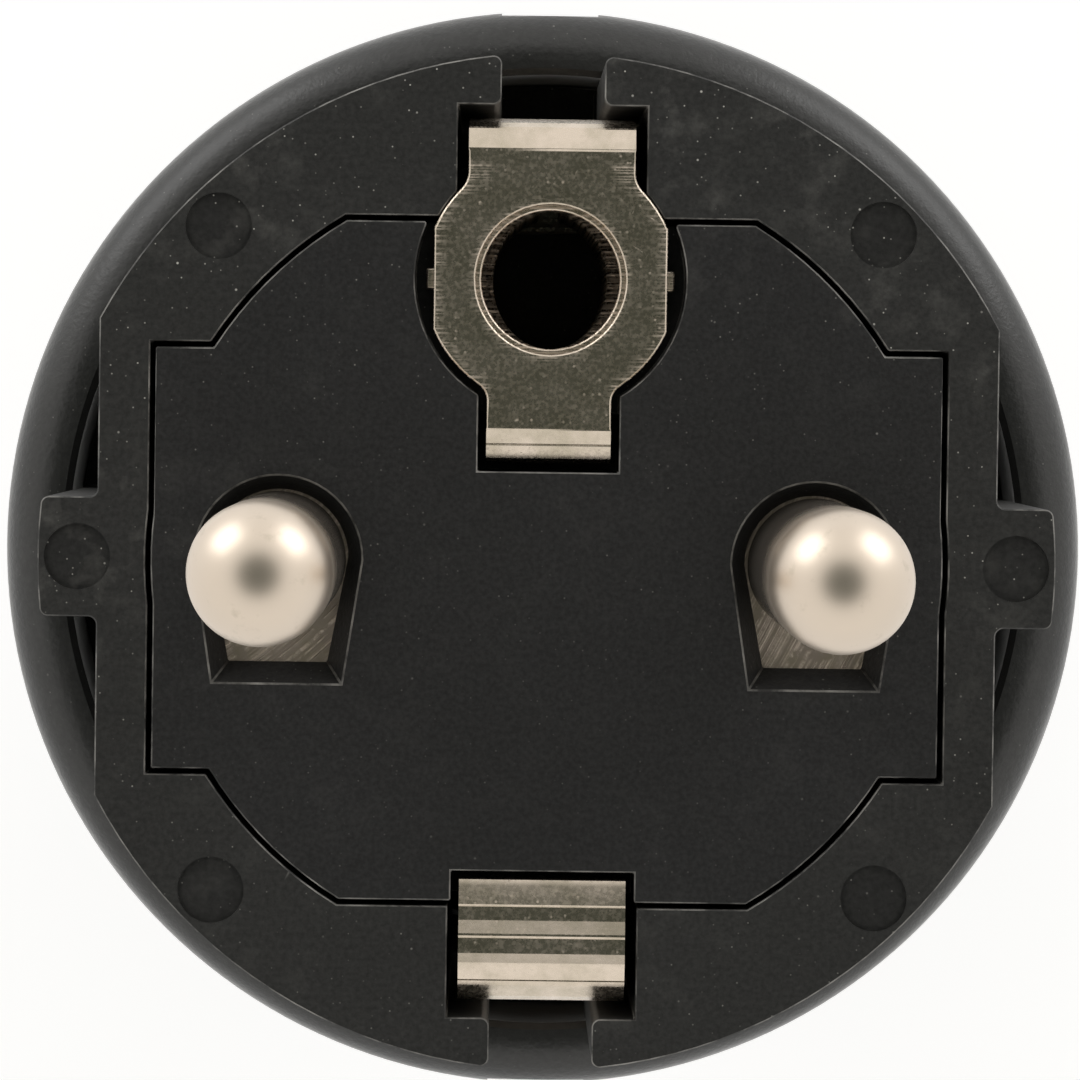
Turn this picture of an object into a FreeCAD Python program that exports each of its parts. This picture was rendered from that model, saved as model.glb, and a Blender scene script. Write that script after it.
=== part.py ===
import FreeCAD, Part
import math
import os
import types

import Sketcher

# Hybrid earthed plug in millimetres. It stands on its gland nut with the pins up:
# +Z is the way the pins point, +Y the side of the earth hole, and the origin is the
# centre of the rear face.

# Driving dimensions
DIMENSIONS = {
    # heights above the rear face
    "face_height": 58.0,
    "collar_rear": 31.0,
    "shell_front": 41.0,
    # pins, with a keyhole-shaped foot
    "pin_radius": 2.4,
    "pin_length": 19.0,
    "pin_pitch": 19.0,
    "foot_radius": 2.85,
    "foot_low": 4.05,
    "foot_low_half": 2.15,
    "foot_rear": 23.0,
    "foot_sink": 1.3,
    "relief_depth": 0.2,
    "relief_sink": 0.1,
    "wire_hole_radius": 1.5,
    "wire_hole_depth": 11.0,
    # terminal screws
    "terminal_height": 26.5,
    "terminal_screw_radius": 1.2,
    "terminal_head_radius": 2.1,
    "terminal_head_height": 1.9,
    "terminal_reach": 2.6,
    "terminal_slot_half": 0.35,
    # collar
    "collar_radius": 18.0,
    "flat_offset": 15.9,
    "flat_floor": 36.0,
    "ear_half": 2.12,
    "slot_half": 3.35,
    "slot_reach": 16.15,
    "mouth_half": 1.82,
    "slot_floor": 34.0,
    "ejector_radius": 1.175,
    "ejector_pitch": 16.6,
    "ejector_depth": 0.15,
    "edge_round": 0.3,
    # contact carrier
    "carrier_radius": 14.0,
    "carrier_half_height": 12.0,
    "carrier_half_width": 13.9,
    "carrier_side_half": 7.45,
    "seam_gap": 0.2,
    "funnel_radius": 2.97,
    "funnel_low": 4.4,
    "funnel_low_half": 2.3,
    "lip_radius": 2.45,
    "lip_low": 3.65,
    "lip_low_half": 1.75,
    "lug_reach": 17.0,
    "lug_half": 4.0,
    "lug_height": 3.0,
    "tower_rear": 22.0,
    "tower_inner": 5.2,
    "tower_outer": 12.9,
    "tower_low": 5.6,
    "tower_high": 6.8,
    # earth bow
    "strip_thickness": 0.8,
    "strip_half": 2.95,
    "strip_rise": 0.1,
    "leg_reach": 15.6,
    "leg_bulge": 0.4,
    "bulge_low": 8.0,
    "bulge_high": 13.0,
    "bulge_foot": 19.0,
    "bend_round": 1.0,
    "earth_hole_offset": 10.0,
    "earth_hole_radius": 2.65,
    "ring_radius": 4.5,
    "ring_half": 4.12,
    "ring_fit": 0.05,
    "neck_half": 2.2,
    "neck_end": 3.5,
    "neck_tail": 4.0,
    "clip_inner": 11.24,
    "clip_crown": 0.2,
    "clip_drop": 0.3,
    "clip_crease_inner": 12.1,
    "clip_crease_middle": 13.3,
    "clip_crease_outer": 14.8,
    "clip_tail": 4.0,
    "bridge_clearance": 0.05,
    "bridge_rise": 1.2,
    # earth sleeve
    "sleeve_bore": 2.45,
    "sleeve_wall": 0.5,
    "sleeve_length": 14.5,
    "sleeve_slit": 0.9,
    "sleeve_lug_reach": 4.4,
    "sleeve_lug_width": 0.75,
    "sleeve_lug_height": 0.8,
    # earth terminal
    "earth_screw_radius": 1.9,
    "earth_screw_length": 8.0,
    "earth_head_radius": 3.4,
    "earth_head_height": 2.4,
    "earth_slot_half": 0.55,
    "earth_washer_half": 3.6,
    "earth_washer_height": 1.0,
    "earth_nut_half": 3.4,
    "earth_nut_height": 2.6,
    # pin retainer
    "retainer_height": 2.0,
    "retainer_screw_radius": 0.95,
    "retainer_screw_length": 6.5,
    "retainer_screw_offset": 5.0,
    "retainer_head_radius": 1.7,
    "retainer_head_height": 1.3,
    "retainer_slot_half": 0.3,
    "retainer_window": 4.0,
    # housing screws
    "housing_screw_offset": 16.0,
    "housing_screw_radius": 1.25,
    "housing_screw_seat": 25.0,
    "housing_screw_length": 17.0,
    "housing_head_radius": 2.0,
    "housing_head_height": 1.8,
    "housing_slot_half": 0.35,
    "head_fit": 0.25,
    "pillar_radius": 2.75,
    "pillar_rear": 17.0,
    # outer shell
    "shell_radius": 20.6,
    "shell_round": 2.0,
    "shell_grip_radius": 19.8,
    "shell_grip_height": 24.0,
    "shell_wall": 2.4,
    "shell_ledge_radius": 15.2,
    "shell_ledge_height": 2.4,
    "shoulder_height": 15.0,
    "shoulder_radius": 12.0,
    "corner_facets": 3,
    "groove_half": 1.85,
    "groove_depth": 0.2,
    "flute_radius": 1.6,
    "flute_depth": 0.5,
    "flute_pitch": 12.0,
    "flute_low": 24.5,
    "flute_high": 35.5,
    "flutes_each_way": 2,
    # cable gland
    "neck_radius": 9.0,
    "neck_rear": 3.4,
    "neck_height": 13.0,
    "seal_radius": 7.0,
    "cable_radius": 5.3,
    "seal_height": 7.0,
    "gland_washer_height": 0.8,
    "nut_radius": 12.2,
    "nut_height": 11.5,
    "nut_floor": 2.4,
    "nut_chamfer": 0.8,
    "nut_flutes": 12,
    "nut_flute_radius": 1.2,
    # running and seating clearances
    "fit": 0.1,
    "screw_fit": 0.1,
}


class Size:
    """A size that knows its number and the formula that binds it to the sheet."""

    def __init__(self, number, formula):
        self.number = number
        self.formula = formula

    def __add__(self, other):
        other = as_size(other)
        return Size(self.number + other.number, f"({self.formula} + {other.formula})")

    def __sub__(self, other):
        other = as_size(other)
        return Size(self.number - other.number, f"({self.formula} - {other.formula})")

    def __rsub__(self, other):
        return as_size(other) - self

    def __mul__(self, other):
        other = as_size(other)
        return Size(self.number * other.number, f"({self.formula} * {other.formula})")

    def __truediv__(self, other):
        other = as_size(other)
        return Size(self.number / other.number, f"({self.formula} / {other.formula})")

    def __neg__(self):
        return Size(-self.number, f"(0 - {self.formula})")

    __radd__ = __add__
    __rmul__ = __mul__


def as_size(value):
    return value if isinstance(value, Size) else Size(float(value), str(value))


def number_of(value):
    return as_size(value).number


document = FreeCAD.newDocument("plug")


def make_sheet():
    """Writes the driving dimensions to the sheet and returns them as named sizes."""
    sheet = document.addObject("Spreadsheet::Sheet", "Sizes")
    sizes = {}
    for row, (name, number) in enumerate(DIMENSIONS.items(), start=1):
        sheet.set(f"A{row}", name)
        sheet.set(f"B{row}", str(number))
        sheet.setAlias(f"B{row}", name)
        sizes[name] = Size(float(number), f"Sizes.{name}")
    document.recompute()
    return sizes


size = types.SimpleNamespace(**make_sheet())
pieces = []

# How near two places have to be to count as one
CLOSE = 1e-3

# Places and reaches that several pieces share
pin_x = size.pin_pitch / 2
foot_front = size.face_height - size.foot_sink
strip_top = size.face_height + size.strip_rise
strip_bottom = strip_top - size.strip_thickness
pocket_floor = strip_bottom - size.sleeve_lug_height
sleeve_rear = strip_bottom - size.sleeve_length
bridge_rear = size.collar_rear + size.bridge_rise
bridge_front = bridge_rear + size.strip_thickness
channel_floor = bridge_front + size.bridge_clearance
ledge_rear = size.collar_rear - size.shell_ledge_height
seal_rear = size.nut_floor + size.gland_washer_height


# Sketches and features
def bind(thing, **values):
    """Binds properties to formulas; a double underscore stands for a dot in a path."""
    for name, value in values.items():
        thing.setExpression(name.replace("__", "."), as_size(value).formula)


def new_body(name):
    body = document.addObject("PartDesign::Body", name)
    body.Label = name
    pieces.append(body)
    return body


def new_sketch(body, plane="XY_Plane", offset=0):
    """A sketch on one of the body's own origin planes, moved along its normal."""
    number = len(body.Group)
    sketch = body.newObject("Sketcher::SketchObject", f"{body.Name}_sketch_{number}")
    support = next(f for f in body.Origin.OriginFeatures if f.Role == plane)
    sketch.AttachmentSupport = [(support, "")]
    sketch.MapMode = "FlatFace"
    bind(sketch, AttachmentOffset__Base__z=offset)
    return sketch


def vector(x, y):
    return FreeCAD.Vector(as_size(x).number, as_size(y).number, 0)


def hold(sketch, kind, value, *where):
    """One dimension of the sketch, bound to its formula."""
    value = as_size(value)
    number = sketch.addConstraint(Sketcher.Constraint(kind, *where, value.number))
    sketch.setExpression(f"Constraints[{number}]", value.formula)


def hold_point(sketch, geometry, end, x, y):
    hold(sketch, "DistanceX", x, -1, 1, geometry, end)
    hold(sketch, "DistanceY", y, -1, 1, geometry, end)


def join(sketch, geometry, end, other, other_end):
    sketch.addConstraint(Sketcher.Constraint("Coincident", geometry, end, other, other_end))


def draw_circle(sketch, x, y, radius):
    normal = FreeCAD.Vector(0, 0, 1)
    circle = Part.Circle(vector(x, y), normal, as_size(radius).number)
    geometry = sketch.addGeometry(circle)
    hold_point(sketch, geometry, 3, x, y)
    hold(sketch, "Radius", radius, geometry)


def round_corner(start, end, radius, left):
    """The arc from start to end with its centre on the left or the right of the way."""
    chord = end - start
    middle = (start + end) / 2
    side = FreeCAD.Vector(-chord.y, chord.x, 0).normalize() * (1 if left else -1)
    rise = math.sqrt(radius ** 2 - (chord.Length / 2) ** 2)
    return Part.Arc(start, middle + side * (rise - radius), end)


def draw_outline(sketch, points, closed=True):
    """Straight runs through the points; a point (x, y, radius, left) is reached by an arc."""
    count = len(points) if closed else len(points) - 1
    drawn = []
    for number in range(count):
        start = vector(*points[number][:2])
        target = points[(number + 1) % len(points)]
        end = vector(*target[:2])
        if len(target) == 2:
            drawn.append((sketch.addGeometry(Part.LineSegment(start, end)), 1, 2))
            continue
        radius = as_size(target[2])
        arc = round_corner(start, end, radius.number, target[3])
        geometry = sketch.addGeometry(arc)
        first = sketch.getPoint(geometry, 1)
        ends = (1, 2) if first.distanceToPoint(start) < first.distanceToPoint(end) else (2, 1)
        drawn.append((geometry, *ends))
        hold(sketch, "Radius", radius, geometry)
    for number, (geometry, first, last) in enumerate(drawn):
        hold_point(sketch, geometry, first, *points[number][:2])
        if closed or number < count - 1:
            following, following_first, _ = drawn[(number + 1) % len(drawn)]
            join(sketch, geometry, last, following, following_first)
        else:
            hold_point(sketch, geometry, last, *points[-1][:2])


def draw_rectangle(sketch, left, low, right, high):
    draw_outline(sketch, [(left, low), (right, low), (right, high), (left, high)])


def draw_arc(sketch, x, y, radius, start_angle, end_angle, first_y, last_y):
    """An arc about (x, y) whose ends are held at two heights."""
    normal = FreeCAD.Vector(0, 0, 1)
    circle = Part.Circle(vector(x, y), normal, as_size(radius).number)
    geometry = sketch.addGeometry(Part.ArcOfCircle(circle, start_angle, end_angle))
    hold_point(sketch, geometry, 3, x, y)
    hold(sketch, "Radius", radius, geometry)
    hold(sketch, "DistanceY", first_y, -1, 1, geometry, 1)
    hold(sketch, "DistanceY", last_y, -1, 1, geometry, 2)
    return geometry


def draw_free_line(sketch, first, first_end, last, last_end):
    """A straight line between ends that are already held."""
    start = sketch.getPoint(first, first_end)
    end = sketch.getPoint(last, last_end)
    line = sketch.addGeometry(Part.LineSegment(start, end))
    join(sketch, line, 1, first, first_end)
    join(sketch, line, 2, last, last_end)


def draw_clipped_disc(sketch, radius, half_height):
    """A disc with its top and bottom cut off straight."""
    angle = math.asin(half_height.number / radius.number)
    right = draw_arc(sketch, 0, 0, radius, -angle, angle, -half_height, half_height)
    left_start = math.pi - angle
    left_end = math.pi + angle
    left = draw_arc(sketch, 0, 0, radius, left_start, left_end, half_height, -half_height)
    draw_free_line(sketch, right, 2, left, 1)
    draw_free_line(sketch, left, 2, right, 1)


def draw_keyhole(sketch, x, radius, low, low_half):
    """A half circle over a trapezoid that narrows downwards, about (x, 0)."""
    arc = draw_arc(sketch, x, 0, radius, 0, math.pi, 0, 0)
    corners = ((x - low_half, -low), (x + low_half, -low))
    base = sketch.addGeometry(Part.LineSegment(vector(*corners[0]), vector(*corners[1])))
    hold_point(sketch, base, 1, *corners[0])
    hold_point(sketch, base, 2, *corners[1])
    draw_free_line(sketch, arc, 2, base, 1)
    draw_free_line(sketch, base, 2, arc, 1)


def add_feature(body, kind, sketch, **values):
    feature = body.newObject(f"PartDesign::{kind}", f"{body.Name}_{kind}_{len(body.Group)}")
    feature.Profile = sketch
    bind(feature, **values)
    sketch.Visibility = False
    return feature


def add_pad(body, sketch, length):
    return add_feature(body, "Pad", sketch, Length=length)


def add_pocket(body, sketch, depth, upwards=False):
    """A pocket below the sketch's plane, or above it."""
    feature = add_feature(body, "Pocket", sketch, Length=depth)
    feature.Reversed = upwards
    return feature


def add_turned(body, sketch, kind="Revolution"):
    """A full turn of the sketch about its upright axis."""
    feature = add_feature(body, kind, sketch)
    feature.ReferenceAxis = (sketch, ["V_Axis"])
    feature.Angle = 360
    return feature


def add_ring_pattern(body, feature, count, sweep=360):
    """Copies of a feature round the body's upright axis."""
    pattern = body.newObject("PartDesign::PolarPattern", f"{body.Name}_pattern")
    pattern.Originals = [feature]
    axis = next(f for f in body.Origin.OriginFeatures if f.Role == "Z_Axis")
    pattern.Axis = (axis, [""])
    bind(pattern, Angle=sweep, Occurrences=count)
    body.Tip = pattern
    return pattern


def upright_edges(shape, wanted):
    """Names of the straight upright edges whose place in plan passes the test."""
    names = []
    for number, edge in enumerate(shape.Edges, start=1):
        if len(edge.Vertexes) != 2 or not isinstance(edge.Curve, Part.Line):
            continue
        first, last = (v.Point for v in edge.Vertexes)
        if math.hypot(first.x - last.x, first.y - last.y) < CLOSE and wanted(first):
            names.append(f"Edge{number}")
    return names


def add_edge_rounds(body, wanted, radius):
    """Rounds the upright edges that pass the test."""
    document.recompute()
    base = body.Tip
    feature = body.newObject("PartDesign::Fillet", f"{body.Name}_rounds_{len(body.Group)}")
    feature.Base = (base, upright_edges(base.Shape, wanted))
    bind(feature, Radius=radius)
    return feature


# Collar
def make_collar():
    body = new_body("collar")
    depth = size.face_height - size.collar_rear
    disc = new_sketch(body, offset=size.collar_rear)
    draw_circle(disc, 0, 0, size.collar_radius)
    add_pad(body, disc, depth)

    # bore for the carrier, right through
    bore = new_sketch(body, offset=size.face_height)
    draw_clipped_disc(
        bore, size.carrier_radius + size.seam_gap, size.carrier_half_height + size.seam_gap
    )
    add_pocket(body, bore, depth)
    sides = new_sketch(body, offset=size.face_height)
    side_x = size.carrier_half_width + size.seam_gap
    side_y = size.carrier_side_half + size.seam_gap
    draw_rectangle(sides, -side_x, -side_y, side_x, side_y)
    add_pocket(body, sides, depth)

    # wide part of the earth slots, right through, and their narrow mouths in the rim
    slots = new_sketch(body, offset=size.face_height)
    draw_rectangle(slots, -size.slot_half, -size.slot_reach, size.slot_half, size.slot_reach)
    add_pocket(body, slots, depth)
    mouths = new_sketch(body, offset=size.face_height)
    rim = size.collar_radius + size.fit
    draw_rectangle(mouths, -size.mouth_half, -rim, size.mouth_half, rim)
    add_pocket(body, mouths, size.face_height - size.slot_floor)

    # shallow seats of the earth ring at the inner corners of the upper slot
    ring_seat = new_sketch(body, offset=size.face_height)
    draw_circle(ring_seat, 0, size.earth_hole_offset, size.ring_radius + size.ring_fit)
    add_pocket(body, ring_seat, size.face_height - strip_bottom + size.ring_fit)

    # side flats, which leave an ear in the middle of each
    flats = new_sketch(body, offset=size.face_height)
    for side in (-1, 1):
        for end in (-1, 1):
            inner, outer = sorted((size.flat_offset * side, rim * side), key=number_of)
            low, high = sorted((size.ear_half * end, rim * end), key=number_of)
            draw_rectangle(flats, inner, low, outer, high)
    add_pocket(body, flats, size.face_height - size.flat_floor)

    # seats of the carrier's lugs and pilot holes of the housing screws, from the rear
    seats = new_sketch(body, offset=size.collar_rear)
    seat_x = size.lug_reach + size.fit
    seat_y = size.lug_half + size.fit
    draw_rectangle(seats, -seat_x, -seat_y, seat_x, seat_y)
    add_pocket(body, seats, size.lug_height, upwards=True)
    pilots = new_sketch(body, offset=size.collar_rear)
    for side in (-1, 1):
        pilot_radius = size.housing_screw_radius + size.screw_fit
        draw_circle(pilots, size.housing_screw_offset * side, 0, pilot_radius)
    tip = size.housing_screw_seat + size.housing_screw_length
    add_pocket(body, pilots, tip + size.fit - size.collar_rear, upwards=True)

    # marks of the six ejector pins
    marks = new_sketch(body, offset=size.face_height)
    for angle in (0, 45, 135, 180, 225, 315):
        x = size.ejector_pitch * math.cos(math.radians(angle))
        y = size.ejector_pitch * math.sin(math.radians(angle))
        draw_circle(marks, x, y, size.ejector_radius)
    add_pocket(body, marks, size.ejector_depth)

    def on_ear_or_mouth(point):
        on_mouth = abs(abs(point.x) - size.mouth_half.number) < CLOSE
        on_ear = abs(abs(point.y) - size.ear_half.number) < CLOSE
        return on_mouth or on_ear

    add_edge_rounds(body, on_ear_or_mouth, size.edge_round)


# Contact carrier
def make_carrier():
    body = new_body("contact_carrier")
    depth = size.face_height - size.collar_rear
    disc = new_sketch(body, offset=size.collar_rear)
    draw_clipped_disc(disc, size.carrier_radius, size.carrier_half_height)
    add_pad(body, disc, depth)
    sides = new_sketch(body, offset=size.collar_rear)
    side_x = size.carrier_half_width
    side_y = size.carrier_side_half
    draw_rectangle(sides, -side_x, -side_y, side_x, side_y)
    add_pad(body, sides, depth)

    # lugs that the housing screws hold, and towers round the terminals
    lugs = new_sketch(body, offset=size.collar_rear)
    draw_rectangle(lugs, -size.lug_reach, -size.lug_half, size.lug_reach, size.lug_half)
    add_pad(body, lugs, size.lug_height)
    towers = new_sketch(body, offset=size.tower_rear)
    for side in (-1, 1):
        left, right = sorted((size.tower_inner * side, size.tower_outer * side), key=number_of)
        draw_rectangle(towers, left, -size.tower_low, right, size.tower_high)
    add_pad(body, towers, size.collar_rear - size.tower_rear)
    screw_holes = new_sketch(body, offset=size.collar_rear)
    for side in (-1, 1):
        hole_radius = size.housing_screw_radius + size.screw_fit
        draw_circle(screw_holes, size.housing_screw_offset * side, 0, hole_radius)
    add_pocket(body, screw_holes, size.lug_height, upwards=True)

    # passages of the pin feet, with a funnel in front of each
    passages = new_sketch(body, offset=size.tower_rear)
    for side in (-1, 1):
        draw_keyhole(
            passages,
            pin_x * side,
            size.foot_radius + size.fit,
            size.foot_low + size.fit,
            size.foot_low_half + size.fit,
        )
    add_pocket(body, passages, foot_front - size.tower_rear, upwards=True)
    for side in (-1, 1):
        wide = new_sketch(body, offset=size.face_height)
        draw_keyhole(
            wide, pin_x * side, size.funnel_radius, size.funnel_low, size.funnel_low_half
        )
        narrow = new_sketch(body, offset=foot_front)
        draw_keyhole(narrow, pin_x * side, size.lip_radius, size.lip_low, size.lip_low_half)
        funnel = add_feature(body, "SubtractiveLoft", wide)
        funnel.Sections = [narrow]
        funnel.Ruled = True

    # ways in for the terminal screws, from the side away from the earth hole
    ways = new_sketch(body, plane="XZ_Plane")
    for side in (-1, 1):
        draw_circle(
            ways, pin_x * side, size.terminal_height, size.terminal_head_radius + size.fit
        )
    add_pocket(body, ways, size.tower_low, upwards=True)

    # pocket of the ring, and notches that the strip dips into
    pocket = new_sketch(body, offset=size.face_height)
    ring_gap = size.ring_half + size.edge_round
    beyond = size.carrier_half_height + size.fit
    draw_rectangle(pocket, -ring_gap, size.earth_hole_offset, ring_gap, beyond)
    add_pocket(body, pocket, size.face_height - pocket_floor)
    round_pocket = new_sketch(body, offset=size.face_height)
    draw_circle(round_pocket, 0, size.earth_hole_offset, size.ring_radius + size.edge_round)
    add_pocket(body, round_pocket, size.face_height - pocket_floor)
    neck = new_sketch(body, offset=size.face_height)
    neck_gap = size.neck_half + size.edge_round
    neck_low = size.neck_end - size.edge_round
    draw_rectangle(neck, -neck_gap, neck_low, neck_gap, size.earth_hole_offset)
    add_pocket(body, neck, size.face_height - pocket_floor)
    dip = new_sketch(body, offset=size.face_height)
    dip_high = size.neck_end + size.strip_thickness + size.bend_round
    draw_rectangle(dip, -neck_gap, neck_low, neck_gap, dip_high)
    add_pocket(body, dip, size.neck_tail - size.strip_rise + size.fit)
    notch = new_sketch(body, offset=size.face_height)
    notch_gap = size.strip_half + size.edge_round
    notch_high = -size.clip_inner + size.edge_round
    draw_rectangle(notch, -notch_gap, -beyond, notch_gap, notch_high)
    add_pocket(body, notch, size.clip_tail - size.strip_rise + size.fit)

    # bore of the earth sleeve
    sleeve_way = new_sketch(body, offset=size.face_height)
    outer = size.sleeve_bore + size.sleeve_wall + size.fit
    draw_circle(sleeve_way, 0, size.earth_hole_offset, outer)
    add_pocket(body, sleeve_way, size.face_height - sleeve_rear)

    # channel of the bridge, seat of the earth nut and room for the earth screw, from the rear
    channel = new_sketch(body, offset=size.collar_rear)
    channel_half = size.strip_half + size.fit
    draw_rectangle(channel, -channel_half, -beyond, channel_half, beyond)
    add_pocket(body, channel, channel_floor - size.collar_rear, upwards=True)
    washer_room = new_sketch(body, offset=size.collar_rear)
    room = size.earth_washer_half + size.fit
    draw_rectangle(washer_room, -room, -room, room, room)
    add_pocket(body, washer_room, bridge_rear - size.collar_rear, upwards=True)
    nut_seat = new_sketch(body, offset=bridge_front)
    nut_gap = size.earth_nut_half + size.fit
    draw_rectangle(nut_seat, -nut_gap, -nut_gap, nut_gap, nut_gap)
    nut_depth = size.earth_nut_height + size.bridge_clearance
    add_pocket(body, nut_seat, nut_depth, upwards=True)
    screw_way = new_sketch(body, offset=channel_floor)
    draw_circle(screw_way, 0, 0, size.earth_screw_radius + size.screw_fit)
    screw_tip = bridge_rear - size.earth_washer_height + size.earth_screw_length
    add_pocket(body, screw_way, screw_tip + size.fit - channel_floor, upwards=True)

    # pilot holes of the retainer screws
    pilots = new_sketch(body, offset=size.tower_rear)
    for side in (-1, 1):
        pilot_radius = size.retainer_screw_radius + size.screw_fit
        draw_circle(pilots, pin_x * side, size.retainer_screw_offset, pilot_radius)
    pilot_depth = size.retainer_screw_length - size.retainer_height + size.fit
    add_pocket(body, pilots, pilot_depth, upwards=True)


# Pins
def make_pin(name, side):
    """A pin turned from keyhole bar: round in front, with the bar left as its foot."""
    centre = pin_x * side
    tip_base = size.face_height + size.pin_length - size.pin_radius
    shank_rear = size.face_height - size.relief_sink
    body = new_body(name)
    foot = new_sketch(body, offset=size.foot_rear)
    draw_keyhole(foot, centre, size.foot_radius, size.foot_low, size.foot_low_half)
    add_pad(body, foot, foot_front - size.foot_rear)

    # turned relief between the foot and the shank, just below the face
    relief = new_sketch(body, offset=foot_front)
    draw_circle(relief, centre, 0, size.pin_radius - size.relief_depth)
    add_pad(body, relief, shank_rear - foot_front)
    shank = new_sketch(body, offset=shank_rear)
    draw_circle(shank, centre, 0, size.pin_radius)
    add_pad(body, shank, tip_base - shank_rear)

    # round tip: a quarter disc turned about the pin's own axis
    tip = new_sketch(body, plane="XZ_Plane")
    draw_outline(
        tip,
        [
            (centre, tip_base),
            (centre + size.pin_radius, tip_base),
            (centre, tip_base + size.pin_radius, size.pin_radius, True),
        ],
    )
    turned = add_feature(body, "Revolution", tip)
    turned.ReferenceAxis = (tip, ["Edge3"])
    turned.Angle = 360

    # wire hole from the rear and the tapped hole of the terminal screw
    wire = new_sketch(body, offset=size.foot_rear)
    draw_circle(wire, centre, 0, size.wire_hole_radius)
    add_pocket(body, wire, size.wire_hole_depth, upwards=True)
    tapped = new_sketch(body, plane="XZ_Plane")
    tapped_radius = size.terminal_screw_radius + size.screw_fit
    draw_circle(tapped, centre, size.terminal_height, tapped_radius)
    add_pocket(body, tapped, size.foot_low + size.fit, upwards=True)


# Screws
def make_screw(name, place, radius, length, head_radius, head_height, slot_half, upright=True):
    """A slotted cheese-head screw; its head seats at the body's origin and its shank goes up."""
    body = new_body(name)
    side_view = new_sketch(body, plane="XZ_Plane")
    draw_outline(
        side_view,
        [
            (0, -head_height),
            (head_radius, -head_height),
            (head_radius, 0),
            (radius, 0),
            (radius, length),
            (0, length),
        ],
    )
    add_turned(body, side_view)
    slot = new_sketch(body, offset=-head_height)
    reach = head_radius + size.fit
    draw_rectangle(slot, -reach, -slot_half, reach, slot_half)
    add_pocket(body, slot, head_height / 2, upwards=True)
    x, y, z = place
    bind(body, Placement__Base__x=x, Placement__Base__y=y, Placement__Base__z=z)
    if not upright:
        body.Placement.Rotation = FreeCAD.Rotation(FreeCAD.Vector(1, 0, 0), -90)


def make_screws():
    for name, side in (("line_terminal_screw", -1), ("neutral_terminal_screw", 1)):
        seat = -size.foot_low - size.screw_fit
        make_screw(
            name,
            (pin_x * side, seat, size.terminal_height),
            size.terminal_screw_radius,
            size.terminal_reach,
            size.terminal_head_radius,
            size.terminal_head_height,
            size.terminal_slot_half,
            upright=False,
        )
    make_screw(
        "earth_terminal_screw",
        (0, 0, bridge_rear - size.earth_washer_height),
        size.earth_screw_radius,
        size.earth_screw_length,
        size.earth_head_radius,
        size.earth_head_height,
        size.earth_slot_half,
    )
    for name, side in (("retainer_screw_left", -1), ("retainer_screw_right", 1)):
        make_screw(
            name,
            (pin_x * side, size.retainer_screw_offset, size.tower_rear - size.retainer_height),
            size.retainer_screw_radius,
            size.retainer_screw_length,
            size.retainer_head_radius,
            size.retainer_head_height,
            size.retainer_slot_half,
        )
    for name, side in (("housing_screw_left", -1), ("housing_screw_right", 1)):
        make_screw(
            name,
            (size.housing_screw_offset * side, 0, size.housing_screw_seat),
            size.housing_screw_radius,
            size.housing_screw_length,
            size.housing_head_radius,
            size.housing_head_height,
            size.housing_slot_half,
        )


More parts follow.
